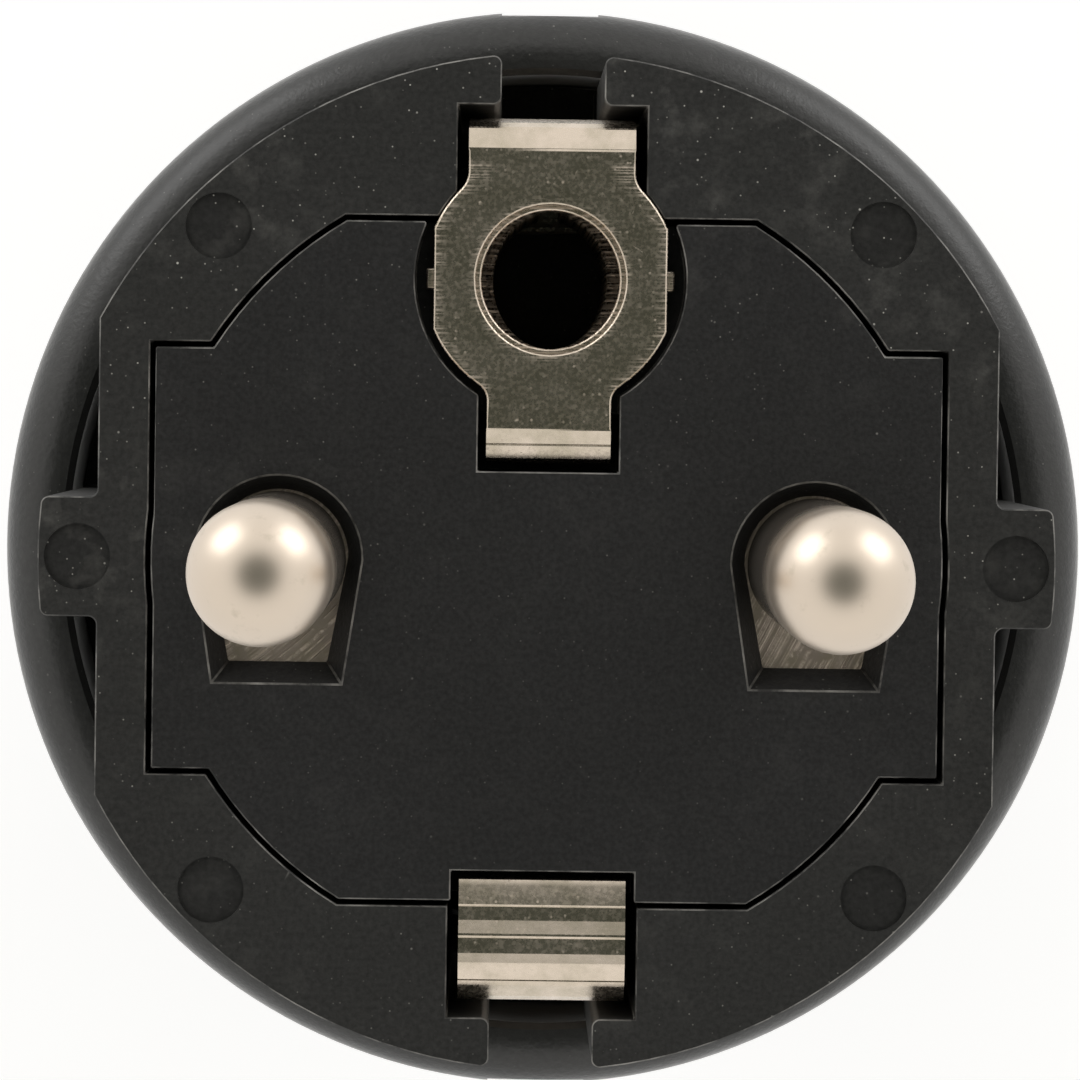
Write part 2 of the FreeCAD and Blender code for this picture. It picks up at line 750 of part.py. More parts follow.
# Earth bow
def make_earth_bow():
    """One bent strip: ring and upper clip, legs, bridge behind the carrier, and lower clip."""
    reach = size.leg_reach
    bulged = size.leg_reach + size.leg_bulge
    bend = size.bend_round
    neck = size.neck_end
    tail_end = strip_top - size.neck_tail
    bulge_high = size.face_height - size.bulge_low
    bulge_low = size.face_height - size.bulge_high
    bulge_foot = size.face_height - size.bulge_foot
    clip_end = strip_top - size.clip_tail
    crown = strip_top + size.clip_crown
    side_crown = crown - size.clip_drop
    path = document.addObject("Sketcher::SketchObject", "bow_path")
    path.Placement = FreeCAD.Placement(
        FreeCAD.Vector(0, 0, 0), FreeCAD.Rotation(FreeCAD.Vector(1, 1, 1), 120)
    )
    draw_outline(
        path,
        [
            (neck, tail_end),
            (neck, strip_top - bend),
            (neck + bend, strip_top, bend, False),
            (reach - bend, strip_top),
            (reach, strip_top - bend, bend, False),
            (bulged, bulge_high),
            (bulged, bulge_low),
            (reach, bulge_foot),
            (reach, bridge_rear + bend),
            (reach - bend, bridge_rear, bend, False),
            (-reach + bend, bridge_rear),
            (-reach, bridge_rear + bend, bend, False),
            (-reach, bulge_foot),
            (-bulged, bulge_low),
            (-bulged, bulge_high),
            (-reach, strip_top - bend),
            (-size.clip_crease_outer, side_crown),
            (-size.clip_crease_middle, crown),
            (-size.clip_crease_inner, side_crown),
            (-size.clip_inner, strip_top - bend),
            (-size.clip_inner, clip_end),
        ],
        closed=False,
    )
    strip = document.addObject("Part::Offset2D", "bow_strip")
    strip.Source = path
    strip.Mode = "Skin"
    strip.Join = "Arc"
    strip.Fill = True
    bind(strip, Value=size.strip_thickness)
    bent = document.addObject("Part::Extrusion", "bow_bent")
    bent.Base = strip
    bent.DirMode = "Custom"
    bent.Dir = FreeCAD.Vector(1, 0, 0)
    bent.Solid = True
    bent.Symmetric = True
    bind(bent, LengthFwd=size.strip_half * 2)

    # the neck below the ring is narrower than the strip
    trims = []
    neck_top = size.earth_hole_offset - size.earth_hole_radius
    trim_low = neck - size.fit
    trim_floor = tail_end - size.fit
    for side, x in (("left", -size.strip_half - size.fit), ("right", size.neck_half)):
        trim = make_box(
            f"neck_trim_{side}",
            (x, trim_low, trim_floor),
            (
                size.strip_half - size.neck_half + size.fit,
                neck_top - trim_low,
                strip_top - trim_floor + size.fit,
            ),
        )
        trims.append(trim)
    necked = combine("bow_necked", "Cut", bent, *trims)

    # ring: a disc with its sides cut straight, round the earth hole
    disc = make_cylinder(
        "ring_disc",
        (0, size.earth_hole_offset, strip_bottom),
        size.ring_radius,
        size.strip_thickness,
    )
    sides = make_box(
        "ring_sides",
        (-size.ring_half, size.earth_hole_offset - size.ring_radius, strip_bottom),
        (size.ring_half * 2, size.ring_radius * 2, size.strip_thickness),
    )
    ring = combine("ring", "Common", disc, sides)
    hole = make_cylinder(
        "earth_hole",
        (0, size.earth_hole_offset, strip_bottom - size.fit),
        size.earth_hole_radius,
        size.strip_thickness + size.fit * 2,
    )
    screw_hole = make_cylinder(
        "bridge_hole",
        (0, 0, bridge_rear - size.fit),
        size.earth_screw_radius + size.screw_fit,
        size.strip_thickness + size.fit * 2,
    )
    joined = combine("bow_joined", "Fuse", necked, ring)
    pieces.append(combine("earth_bow", "Cut", joined, hole, screw_hole))


# Parts built from primitives
def place(thing, corner):
    x, y, z = corner
    bind(thing, Placement__Base__x=x, Placement__Base__y=y, Placement__Base__z=z)


def make_box(name, corner, lengths):
    box = document.addObject("Part::Box", name)
    place(box, corner)
    bind(box, Length=lengths[0], Width=lengths[1], Height=lengths[2])
    return box


def make_cylinder(name, corner, radius, height):
    cylinder = document.addObject("Part::Cylinder", name)
    place(cylinder, corner)
    bind(cylinder, Radius=radius, Height=height)
    return cylinder


def combine(name, kind, base, *tools):
    """Cuts tools from the base one after another, or fuses or intersects them with it."""
    result = base
    for number, tool in enumerate(tools):
        last = number == len(tools) - 1
        step = document.addObject(f"Part::{kind}", name if last else f"{name}_step_{number}")
        step.Base = result
        step.Tool = tool
        if kind == "Fuse":
            step.Refine = True
        result = step
    result.Label = name
    return result


# Earth sleeve
def make_earth_sleeve():
    """A slit tube whose two halves spring on the socket's earth pin, hung by two side lugs."""
    outer = size.sleeve_bore + size.sleeve_wall
    rear = sleeve_rear
    y = size.earth_hole_offset
    tube = make_cylinder("sleeve_tube", (0, y, rear), outer, size.sleeve_length)
    lugs = make_box(
        "sleeve_lugs",
        (
            -size.sleeve_lug_reach,
            y - size.sleeve_lug_width / 2,
            pocket_floor,
        ),
        (size.sleeve_lug_reach * 2, size.sleeve_lug_width, size.sleeve_lug_height),
    )
    bore = make_cylinder(
        "sleeve_bore_tool",
        (0, y, rear - size.fit),
        size.sleeve_bore,
        size.sleeve_length + size.fit * 2,
    )
    slit = make_box(
        "sleeve_slit_tool",
        (-size.sleeve_slit / 2, y - outer - size.fit, rear - size.fit),
        (
            size.sleeve_slit,
            (outer + size.fit) * 2,
            size.sleeve_length - size.sleeve_lug_height * 2,
        ),
    )
    whole = combine("sleeve_whole", "Fuse", tube, lugs)
    pieces.append(combine("earth_sleeve", "Cut", whole, bore, slit))


# Earth terminal
def make_earth_terminal():
    washer_rear = bridge_rear - size.earth_washer_height
    for name, half, low, height in (
        ("earth_clamp_washer", size.earth_washer_half, washer_rear, size.earth_washer_height),
        ("earth_nut", size.earth_nut_half, bridge_front, size.earth_nut_height),
    ):
        body = new_body(name)
        square = new_sketch(body, offset=low)
        draw_rectangle(square, -half, -half, half, half)
        draw_circle(square, 0, 0, size.earth_screw_radius + size.screw_fit)
        add_pad(body, square, height)


# Pin retainer
def make_pin_retainer():
    """A plate across both towers that keeps the pins from sliding back."""
    body = new_body("pin_retainer")
    plate = new_sketch(body, offset=size.tower_rear - size.retainer_height)
    half = size.tower_outer
    draw_rectangle(plate, -half, -size.tower_low, half, size.tower_high)
    draw_circle(plate, 0, 0, size.retainer_window)
    for side in (-1, 1):
        draw_circle(plate, pin_x * side, 0, size.wire_hole_radius + size.fit)
        screw_gap = size.retainer_screw_radius + size.screw_fit
        draw_circle(plate, pin_x * side, size.retainer_screw_offset, screw_gap)
    add_pad(body, plate, size.retainer_height)

    # bosses that reach up to the pin feet inside the towers
    bosses = new_sketch(body, offset=size.tower_rear)
    for side in (-1, 1):
        draw_keyhole(bosses, pin_x * side, size.foot_radius, size.foot_low, size.foot_low_half)
        draw_circle(bosses, pin_x * side, 0, size.wire_hole_radius + size.fit)
    add_pad(body, bosses, size.foot_rear - size.tower_rear)


# Outer shell
def rounded_corner(radius, height, rounding, upwards):
    """Corners of a quarter round in flat steps, up or down from a height and inwards."""
    facets = round(size.corner_facets.number)
    points = []
    for step in range(facets + 1):
        angle = math.radians(90 * step / facets)
        x = radius - rounding + rounding * math.cos(angle)
        rise = rounding * math.sin(angle)
        points.append((x, height + rise if upwards else height - rise))
    return points


def make_shell():
    body = new_body("outer_shell")
    bore = size.collar_radius + size.fit
    front = size.shell_front
    wall = size.shell_wall
    neck_top = size.neck_height
    grip = size.shell_grip_radius
    grip_z = size.shell_grip_height
    rounding = grip_z - size.shoulder_height
    shoulder = rounded_corner(grip, grip_z, rounding, False)
    hollow = rounded_corner(grip - wall, grip_z, rounding - wall, False)
    rim = rounded_corner(size.shell_radius, front - size.shell_round, size.shell_round, True)
    profile = new_sketch(body, plane="XZ_Plane")
    draw_outline(
        profile,
        [
            (bore, front),
            (bore, size.collar_rear),
            (size.shell_ledge_radius, size.collar_rear),
            (size.shell_ledge_radius, ledge_rear),
            (grip - wall, ledge_rear),
            *hollow,
            (size.cable_radius, neck_top),
            (size.cable_radius, seal_rear + size.seal_height),
            (size.seal_radius + size.fit, seal_rear + size.seal_height),
            (size.seal_radius + size.fit, size.neck_rear),
            (size.neck_radius, size.neck_rear),
            (size.neck_radius, size.nut_height + size.fit),
            (size.shoulder_radius, size.nut_height + size.fit),
            (size.shoulder_radius, size.shoulder_height),
            *reversed(shoulder[:-1]),
            *rim,
        ],
    )
    add_turned(body, profile)

    # pillars of the housing screws up to the ledge, trimmed to the shoulder's outside
    pillars = new_sketch(body, offset=size.pillar_rear)
    for side in (-1, 1):
        draw_circle(pillars, size.housing_screw_offset * side, 0, size.pillar_radius)
    add_pad(body, pillars, ledge_rear - size.pillar_rear)
    outside = new_sketch(body, plane="XZ_Plane")
    beyond = size.shell_radius + size.shell_round
    draw_outline(
        outside,
        [
            (size.shoulder_radius, size.nut_height),
            (beyond, size.nut_height),
            (beyond, grip_z),
            *shoulder[:-1],
            (size.shoulder_radius, size.shoulder_height),
        ],
    )
    add_turned(body, outside, "Groove")

    # their clearance holes, and the sinks of their heads from the rear
    holes = new_sketch(body, offset=size.housing_screw_seat)
    sinks = new_sketch(body, offset=size.nut_height)
    for side in (-1, 1):
        x = size.housing_screw_offset * side
        draw_circle(holes, x, 0, size.housing_screw_radius + size.screw_fit)
        draw_circle(sinks, x, 0, size.housing_head_radius + size.head_fit)
    add_pocket(body, holes, size.collar_rear - size.housing_screw_seat, upwards=True)
    add_pocket(body, sinks, size.housing_screw_seat - size.nut_height, upwards=True)

    # shallow groove along the top and the bottom
    grooves = new_sketch(body, offset=front)
    for side in (-1, 1):
        edges = (
            (size.shell_radius - size.groove_depth) * side,
            (size.shell_radius + size.shell_round) * side,
        )
        low, high = sorted(edges, key=number_of)
        draw_rectangle(grooves, -size.groove_half, low, size.groove_half, high)
    add_pocket(body, grooves, front - size.flute_low)

    # finger flutes on both sides
    flutes = new_sketch(body, offset=size.flute_low)
    centre = size.shell_grip_radius + size.flute_radius - size.flute_depth
    each_way = round(size.flutes_each_way.number)
    steps = range(-each_way, each_way + 1)
    for turn in (0, 180):
        for step in steps:
            angle = math.radians(turn + step * size.flute_pitch.number)
            x, y = centre * math.cos(angle), centre * math.sin(angle)
            draw_circle(flutes, x, y, size.flute_radius)
    add_pocket(body, flutes, size.flute_high - size.flute_low, upwards=True)


# Cable gland
def make_gland():
    """Seal, pressure washer and nut of the cable inlet."""
    for name, low, height in (
        ("gland_washer", size.nut_floor, size.gland_washer_height),
        ("gland_seal", seal_rear, size.seal_height),
    ):
        body = new_body(name)
        ring = new_sketch(body, offset=low)
        draw_circle(ring, 0, 0, size.seal_radius)
        draw_circle(ring, 0, 0, size.cable_radius)
        add_pad(body, ring, height)

    nut = new_body("gland_nut")
    bore = size.neck_radius + size.fit
    edge = size.nut_chamfer
    profile = new_sketch(nut, plane="XZ_Plane")
    draw_outline(
        profile,
        [
            (size.cable_radius, 0),
            (size.nut_radius - edge, 0),
            (size.nut_radius, edge),
            (size.nut_radius, size.nut_height),
            (bore, size.nut_height),
            (bore, size.nut_floor),
            (size.cable_radius, size.nut_floor),
        ],
    )
    add_turned(nut, profile)
    flute = new_sketch(nut, offset=edge * 2)
    centre = size.nut_radius + size.nut_flute_radius / 2
    draw_circle(flute, centre, 0, size.nut_flute_radius)
    cut = add_pocket(nut, flute, size.nut_height - edge * 2, upwards=True)
    add_ring_pattern(nut, cut, size.nut_flutes)


def check_pieces():
    """Stops the build if an object failed or a piece isn't one valid shape."""
    for thing in document.Objects:
        if "Invalid" in thing.State or "Error" in thing.State:
            raise RuntimeError(f"{thing.Name} failed: {thing.State}")
    for piece in pieces:
        if piece.Shape.isNull() or not piece.Shape.isValid():
            raise RuntimeError(f"{piece.Label} has no valid shape")


make_collar()
make_carrier()
make_pin("line_pin", -1)
make_pin("neutral_pin", 1)
make_screws()
make_earth_bow()
make_earth_sleeve()
make_earth_terminal()
make_pin_retainer()
make_shell()
make_gland()
document.recompute()
check_pieces()

os.makedirs("parts", exist_ok=True)
for piece in pieces:
    piece.Shape.exportStep(f"parts/{piece.Label}.step")
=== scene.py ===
"""Type F plug with its looks: moulded plastic, nickel-plated pins and earth contacts, and a
plain studio."""

import math

import bmesh
import bpy
from bpy.props import FloatProperty, FloatVectorProperty, PointerProperty
from mathutils import Matrix, Vector


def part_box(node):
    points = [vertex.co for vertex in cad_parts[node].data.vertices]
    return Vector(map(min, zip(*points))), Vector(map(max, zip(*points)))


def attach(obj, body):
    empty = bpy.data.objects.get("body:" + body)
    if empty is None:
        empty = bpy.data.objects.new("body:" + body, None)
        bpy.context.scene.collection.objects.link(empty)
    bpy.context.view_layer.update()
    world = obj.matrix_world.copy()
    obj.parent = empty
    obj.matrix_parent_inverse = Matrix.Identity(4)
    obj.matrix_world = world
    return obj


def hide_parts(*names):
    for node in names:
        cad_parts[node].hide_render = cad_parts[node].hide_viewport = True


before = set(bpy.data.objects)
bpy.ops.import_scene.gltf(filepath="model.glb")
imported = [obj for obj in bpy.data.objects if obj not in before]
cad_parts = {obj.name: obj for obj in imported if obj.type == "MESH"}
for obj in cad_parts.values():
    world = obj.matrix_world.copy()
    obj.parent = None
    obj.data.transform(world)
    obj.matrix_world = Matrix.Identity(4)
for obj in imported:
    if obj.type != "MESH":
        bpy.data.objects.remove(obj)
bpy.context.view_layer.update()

bl_info = {
    "name": "Type F Plug",
    "version": (1, 0, 0),
    "blender": (4, 5, 0),
    "location": "View3D > Sidebar > Plug",
    "description": "Plastics, metals and studio of an earthed mains plug",
    "category": "Object",
}

MM = 0.001

# Heights and places of the plug, read from its frame, in metres
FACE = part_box("collar")[1][2]
PIN_X = (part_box("neutral_pin")[0][0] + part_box("neutral_pin")[1][0]) / 2
PIN_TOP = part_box("neutral_pin")[1][2]
SHELL_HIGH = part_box("outer_shell")[1]

# Places and sizes on the pieces, in millimetres
EARTH_Y = 10  # earth hole, above the line of the pins
EARTH_HOLE = 2.65  # radius of the hole in the earth bow
SLEEVE_BORE = 2.45  # inner radius of the earth sleeve
EJECTOR_MARKS = ((16.6, 0), (11.738, 11.738))  # centres in one quarter of the collar's face
EJECTOR_RADIUS = 1.175
PLATE_END = 14.5  # the earth bow's flat plate runs from here down to the neck
NECK_END = 4.75
LEG_END = 56.5  # height where the legs of the earth bow go over into its bends
LEG_MIDDLE = 15.2  # distance of the middle of a leg from the plug's axis
PLATE_MIDDLE = 0.3  # depth of the middle of the plate's thickness below the face
SCREW_X = 16  # housing screws

BREAK_ANGLE = 35  # degrees, past which an edge is broken
FLOOR_GLOW = 0.56  # what the floor adds to its own light, as seen by camera and mirrors
WORLD_STRENGTH = 1.15


# Colours and settings
def linear(code):
    """Linear RGBA of an sRGB hex code."""
    parts = [int(code[i : i + 2], 16) / 255 for i in (1, 3, 5)]
    light = [c / 12.92 if c <= 0.04045 else ((c + 0.055) / 1.055) ** 2.4 for c in parts]
    return (*light, 1.0)


def colour_setting(name, description, code):
    """An RGBA setting given as an sRGB hex code."""
    return FloatVectorProperty(
        name=name,
        description=description,
        default=linear(code),
        subtype="COLOR",
        size=4,
        min=0,
        max=1,
    )


def length_setting(name, description, millimetres):
    """A length setting given in millimetres."""
    return FloatProperty(
        name=name,
        description=description,
        default=millimetres * MM,
        min=0,
        subtype="DISTANCE",
        unit="LENGTH",
        precision=5,
    )


def angle_setting(name, description, degrees):
    """An angle setting given in degrees."""
    return FloatProperty(
        name=name,
        description=description,
        default=math.radians(degrees),
        subtype="ANGLE",
        unit="ROTATION",
    )


class PlugSizes(bpy.types.PropertyGroup):
    """Finishing sizes of the pieces"""

    mould_edge: length_setting("Moulded edge", "Width of the rubbed edge on moulded parts", 0.05)
    pressed_edge: length_setting("Pressed edge", "Width of the rolled edge on pressed strip", 0.07)
    turned_edge: length_setting("Turned edge", "Width of the broken edge on turned parts", 0.07)
    tip_round: length_setting("Tip rounding", "Radius of a pin and of its round tip", 2.4)
    foot_edge: length_setting("Foot edge", "Width of the rounded edge on a pin's foot", 0.12)
    foot_corner: length_setting("Foot corner", "Chamfer of the low corners of a pin's foot", 0.14)
    strip_corner: length_setting(
        "Strip corner", "Rounding where the earth ring meets its strip", 0.35
    )
    sleeve_draw: length_setting("Sleeve draw", "How far the sleeve's halves draw together", 0.4)


class PlugColours(bpy.types.PropertyGroup):
    """Colours of the plastics and metals"""

    housing: colour_setting("Housing", "Moulded plastic of the rear housing", "#262625")
    collar: colour_setting("Collar", "Moulded plastic of the collar", "#323231")
    carrier: colour_setting("Contact carrier", "Moulded plastic between the pins", "#2d2d2d")
    dust: colour_setting("Dust", "Dust and scuffs on the plastic", "#b8b6b0")
    # paler edge colour: partly rubbed wear, partly a painted highlight along the edges
    worn_and_highlit_edge: colour_setting("Worn edge", "Plastic where an edge is rubbed", "#8c8a86")
    nickel: colour_setting("Nickel", "Nickel plating", "#d3c6b7")
    tarnish: colour_setting("Tarnish", "Nickel dulled by handling", "#96907a")
    brass: colour_setting("Brass", "Plain brass of the terminals", "#c9a75c")
    steel: colour_setting("Steel", "Zinc-plated steel of the screws", "#c3c5c6")
    rubber: colour_setting("Seal", "Rubber of the cord seal", "#191919")
    polyamide: colour_setting("Washer", "Natural polyamide of the pressure washer", "#cfccc2")


class PlugStudio(bpy.types.PropertyGroup):
    """Camera, lamps and floor"""

    camera_height: length_setting("Camera height", "Camera above the plug's face", 214.5)
    lens: FloatProperty(
        name="Lens", description="Focal length", default=202.4, min=1, unit="CAMERA"
    )
    roll: angle_setting("Roll", "Turn of the camera", 0.8)
    box_power: FloatProperty(
        name="Softbox power", description="Power of each softbox", default=0.9, min=0, unit="POWER"
    )
    box_size: length_setting("Softbox size", "Side of each softbox", 350)
    dark_cap: angle_setting("Dark cap", "Half angle of the dim patch over the plug", 23)
    cap_edge: angle_setting("Cap edge", "Width of the dim patch's soft edge", 20)
    floor: colour_setting("Floor", "Plain floor", "#cccccc")
    surround: colour_setting("Surround", "Pale walls round the plug", "#faf8f4")
    overhead: colour_setting("Overhead", "Dim patch over the plug", "#4a4e47")


# Materials
def add(tree, kind, links=None, out=0, **settings):
    """Adds one shader node with its settings and links, and returns one of its outputs."""
    node = tree.nodes.new("ShaderNode" + kind)
    for key, value in settings.items():
        setattr(node, key, value)
    for key, value in (links or {}).items():
        if isinstance(value, bpy.types.NodeSocket):
            tree.links.new(value, node.inputs[key])
        else:
            node.inputs[key].default_value = value
    return node.outputs[out] if len(node.outputs) else None


def open_material(name):
    """A material with an empty tree, and the object coordinates that its patterns read."""
    material = bpy.data.materials.new(name)
    material.use_nodes = True
    tree = material.node_tree
    tree.nodes.clear()
    return material, tree, add(tree, "TexCoord", out="Object")


def patches(tree, place, size, low, high, top=1.0, turn=0, stretch=1, detail=4.0):
    """Uneven patches, size millimetres across, that rise from nothing to top while their noise
    goes from low to high."""
    laid = add(
        tree,
        "Mapping",
        {"Vector": place, "Rotation": (0, 0, math.radians(turn)), "Scale": (stretch, 1, 1)},
        vector_type="TEXTURE",
    )
    noise = {"Vector": laid, "Scale": 1 / (size * MM), "Detail": detail, "Roughness": 0.62}
    cloud = add(tree, "TexNoise", noise)
    return add(tree, "MapRange", {"Value": cloud, "From Min": low, "From Max": high, "To Max": top})


def flecks(tree, place, spacing, radius, share, stretch=1, turn=0):
    """Small flecks in a share of the cells of a loose grid; spacing and radius in millimetres."""
    laid = add(
        tree,
        "Mapping",
        {"Vector": place, "Rotation": (0, 0, math.radians(turn)), "Scale": (stretch, 1, 1)},
        vector_type="TEXTURE",
    )
    cells = add(tree, "TexVoronoi", {"Vector": laid, "Scale": 1 / (spacing * MM)}, feature="F1")
    reach = radius / spacing
    near = add(tree, "MapRange", {"Value": cells, "From Min": reach, "From Max": reach * 0.4})
    chance = add(tree, "SeparateColor", {"Color": cells.node.outputs["Color"]})
    chosen = add(tree, "Math", {0: chance, 1: share}, operation="LESS_THAN")
    bright = add(tree, "Math", {0: near, 1: chance.node.outputs[1]}, operation="MULTIPLY")
    return add(tree, "Math", {0: bright, 1: chosen}, operation="MULTIPLY")


def moulded_plastic(name, colour, dust, grain, gloss, specular, dusty, tool_marks=False, sheen=0):
    """Thermoplastic from a spark-eroded mould: matt and finely grained, with loose dust and a pale
    film that lie thickest at the upper left and right, where they are partly dust and partly
    painted light falling from that side; the collar also has darker discs left by its ejector pins,
    and a witness line of the mould under the carrier."""
    material, tree, place = open_material(name)
    parts = add(tree, "SeparateXYZ", {0: place}).node.outputs
    # the eroded grain is finer than the render shows, and is drawn about 0.2 mm across
    grains = patches(tree, place, grain, 0.32, 0.7, detail=2)
    clouds = patches(tree, place, 6, 0.38, 0.68)
    blots = patches(tree, place, 1.1, 0.5, 0.72, detail=6)
    deep = [c * 0.6 for c in colour[:3]] + [1]
    tone = add(tree, "Mix", {0: grains, 6: deep, 7: colour}, 2, data_type="RGBA")
    # dust thickens upwards and, less, outwards, and with it a painted light that falls from the
    # upper left and right
    side = add(tree, "Math", {0: parts[0]}, operation="ABSOLUTE")
    side = add(tree, "Math", {0: side, 1: 0.7}, operation="MULTIPLY")
    side = add(tree, "Math", {0: parts[1], 1: side}, operation="ADD")
    upwards = {"Value": side, "From Min": -4 * MM, "From Max": 20 * MM, "To Min": 0.3}
    dust_and_light_lean = add(tree, "MapRange", upwards)
    loose = add(
        tree,
        "Math",
        {
            0: flecks(tree, place, spacing=0.8, radius=0.055, share=0.6),
            1: flecks(tree, place, spacing=0.3, radius=0.04, share=0.6),
        },
        operation="MAXIMUM",
    )
    lint = flecks(tree, place, spacing=1.9, radius=0.05, share=0.5, stretch=9, turn=62)
    loose = add(tree, "Math", {0: loose, 1: lint}, operation="MAXIMUM")
    loose = add(tree, "Math", {0: loose, 1: dust_and_light_lean}, operation="MULTIPLY")
    loose = add(tree, "Math", {0: loose, 1: min(dusty, 1)}, operation="MULTIPLY")
    film = add(tree, "Math", {0: clouds, 1: blots}, operation="MULTIPLY")
    film = add(tree, "Math", {0: film, 1: dust_and_light_lean}, operation="MULTIPLY")
    film = add(tree, "Math", {0: film, 1: 0.09 * dusty}, operation="MULTIPLY")
    settled = add(tree, "Math", {0: film, 1: loose}, operation="MAXIMUM")
    height = grains
    if tool_marks:
        flat = add(tree, "CombineXYZ", {0: parts[0], 1: parts[1]})
        radius = add(tree, "VectorMath", {0: flat}, "Value", operation="LENGTH")
        # witness line: an arc of 14.2 mm radius that shows only under the carrier
        line = add(tree, "Math", {0: radius, 1: 14.2 * MM, 2: 0.035 * MM}, operation="COMPARE")
        below = add(tree, "Math", {0: parts[1], 1: -12.2 * MM}, operation="LESS_THAN")
        line = add(tree, "Math", {0: line, 1: below}, operation="MULTIPLY")
        height = add(tree, "Math", {0: line, 1: 1.5, 2: grains}, operation="MULTIPLY_ADD")
        # ejector marks: one quarter of the face stands for all four
        corner = add(tree, "VectorMath", {0: flat}, operation="ABSOLUTE")
        ends = []
        for x, y in EJECTOR_MARKS:
            apart = {0: corner, 1: (x * MM, y * MM, 0)}
            ends.append(add(tree, "VectorMath", apart, "Value", operation="DISTANCE"))
        nearest = add(tree, "Math", {0: ends[0], 1: ends[1]}, operation="MINIMUM")
        rim = {
            "Value": nearest,
            "From Min": (EJECTOR_RADIUS + 0.025) * MM,
            "From Max": (EJECTOR_RADIUS - 0.075) * MM,
            "To Max": 0.3,
        }
        disc = add(tree, "MapRange", rim)
        tone = add(tree, "Mix", {0: disc, 6: tone, 7: linear("#0d0d0d")}, 2, data_type="RGBA")
    tone = add(tree, "Mix", {0: settled, 6: tone, 7: dust}, 2, data_type="RGBA")
    rough = add(tree, "MapRange", {"Value": clouds, "To Min": gloss - 0.04, "To Max": gloss + 0.06})
    normal = add(tree, "Bump", {"Height": height, "Distance": 0.014 * MM, "Strength": 0.5})
    links = {
        "Base Color": tone,
        "Roughness": rough,
        "IOR": 1.5,
        "Specular IOR Level": specular,
        "Sheen Weight": sheen,
        "Sheen Roughness": 0.3,
        "Normal": normal,
    }
    add(tree, "OutputMaterial", {"Surface": add(tree, "BsdfPrincipled", links)})
    return material


def rubbed_and_highlit_edge(name, colour, light):
    """The rubbed edge of a moulding: paler than the plastic, in broken lengths; the paleness is
    partly wear and partly a painted highlight along the edge.
    """
    material, tree, place = open_material(name)
    rubbed = patches(tree, place, 1.3, 0.4, 0.7, detail=6)
    tone = add(tree, "Mix", {0: rubbed, 6: colour, 7: light}, 2, data_type="RGBA")
    links = {"Base Color": tone, "Roughness": 0.5, "IOR": 1.5, "Specular IOR Level": 0.3}
    add(tree, "OutputMaterial", {"Surface": add(tree, "BsdfPrincipled", links)})
    return material


def plated_pin(name, nickel, tarnish):
    """Turned brass, bright nickel plated: a soft mirror at the handled tip, clearer towards the
    root, where its colour is darkened by painted shade, and dulled in places."""
    material, tree, place = open_material(name)
    height = add(tree, "SeparateXYZ", {0: place}, "Z")
    dull = patches(tree, place, 0.8, 0.6, 0.85, 0.45, detail=5)
    tone = add(tree, "Mix", {0: dull, 6: nickel, 7: tarnish}, 2, data_type="RGBA")
    # painted shade: the nickel darkens over the last 7 mm down to the face, as in the shade of the
    # funnel
    low = {"Value": height, "From Min": FACE + 7 * MM, "From Max": FACE, "To Max": 0.75}
    dark = [c * 0.25 for c in tarnish[:3]] + [1]
    root = add(tree, "MapRange", low)
    tone = add(tree, "Mix", {0: root, 6: tone, 7: dark}, 2, data_type="RGBA")
    high = {
        "Value": height,
        "From Min": PIN_TOP - 9 * MM,
        "From Max": PIN_TOP - 3 * MM,
        "To Min": 0.2,
        "To Max": 0.38,
    }
    soft = add(tree, "MapRange", high)
    rough = add(tree, "Math", {0: dull, 1: 0.15, 2: soft}, operation="MULTIPLY_ADD")
    links = {"Base Color": tone, "Metallic": 1.0, "Roughness": rough}
    add(tree, "OutputMaterial", {"Surface": add(tree, "BsdfPrincipled", links)})
    return material


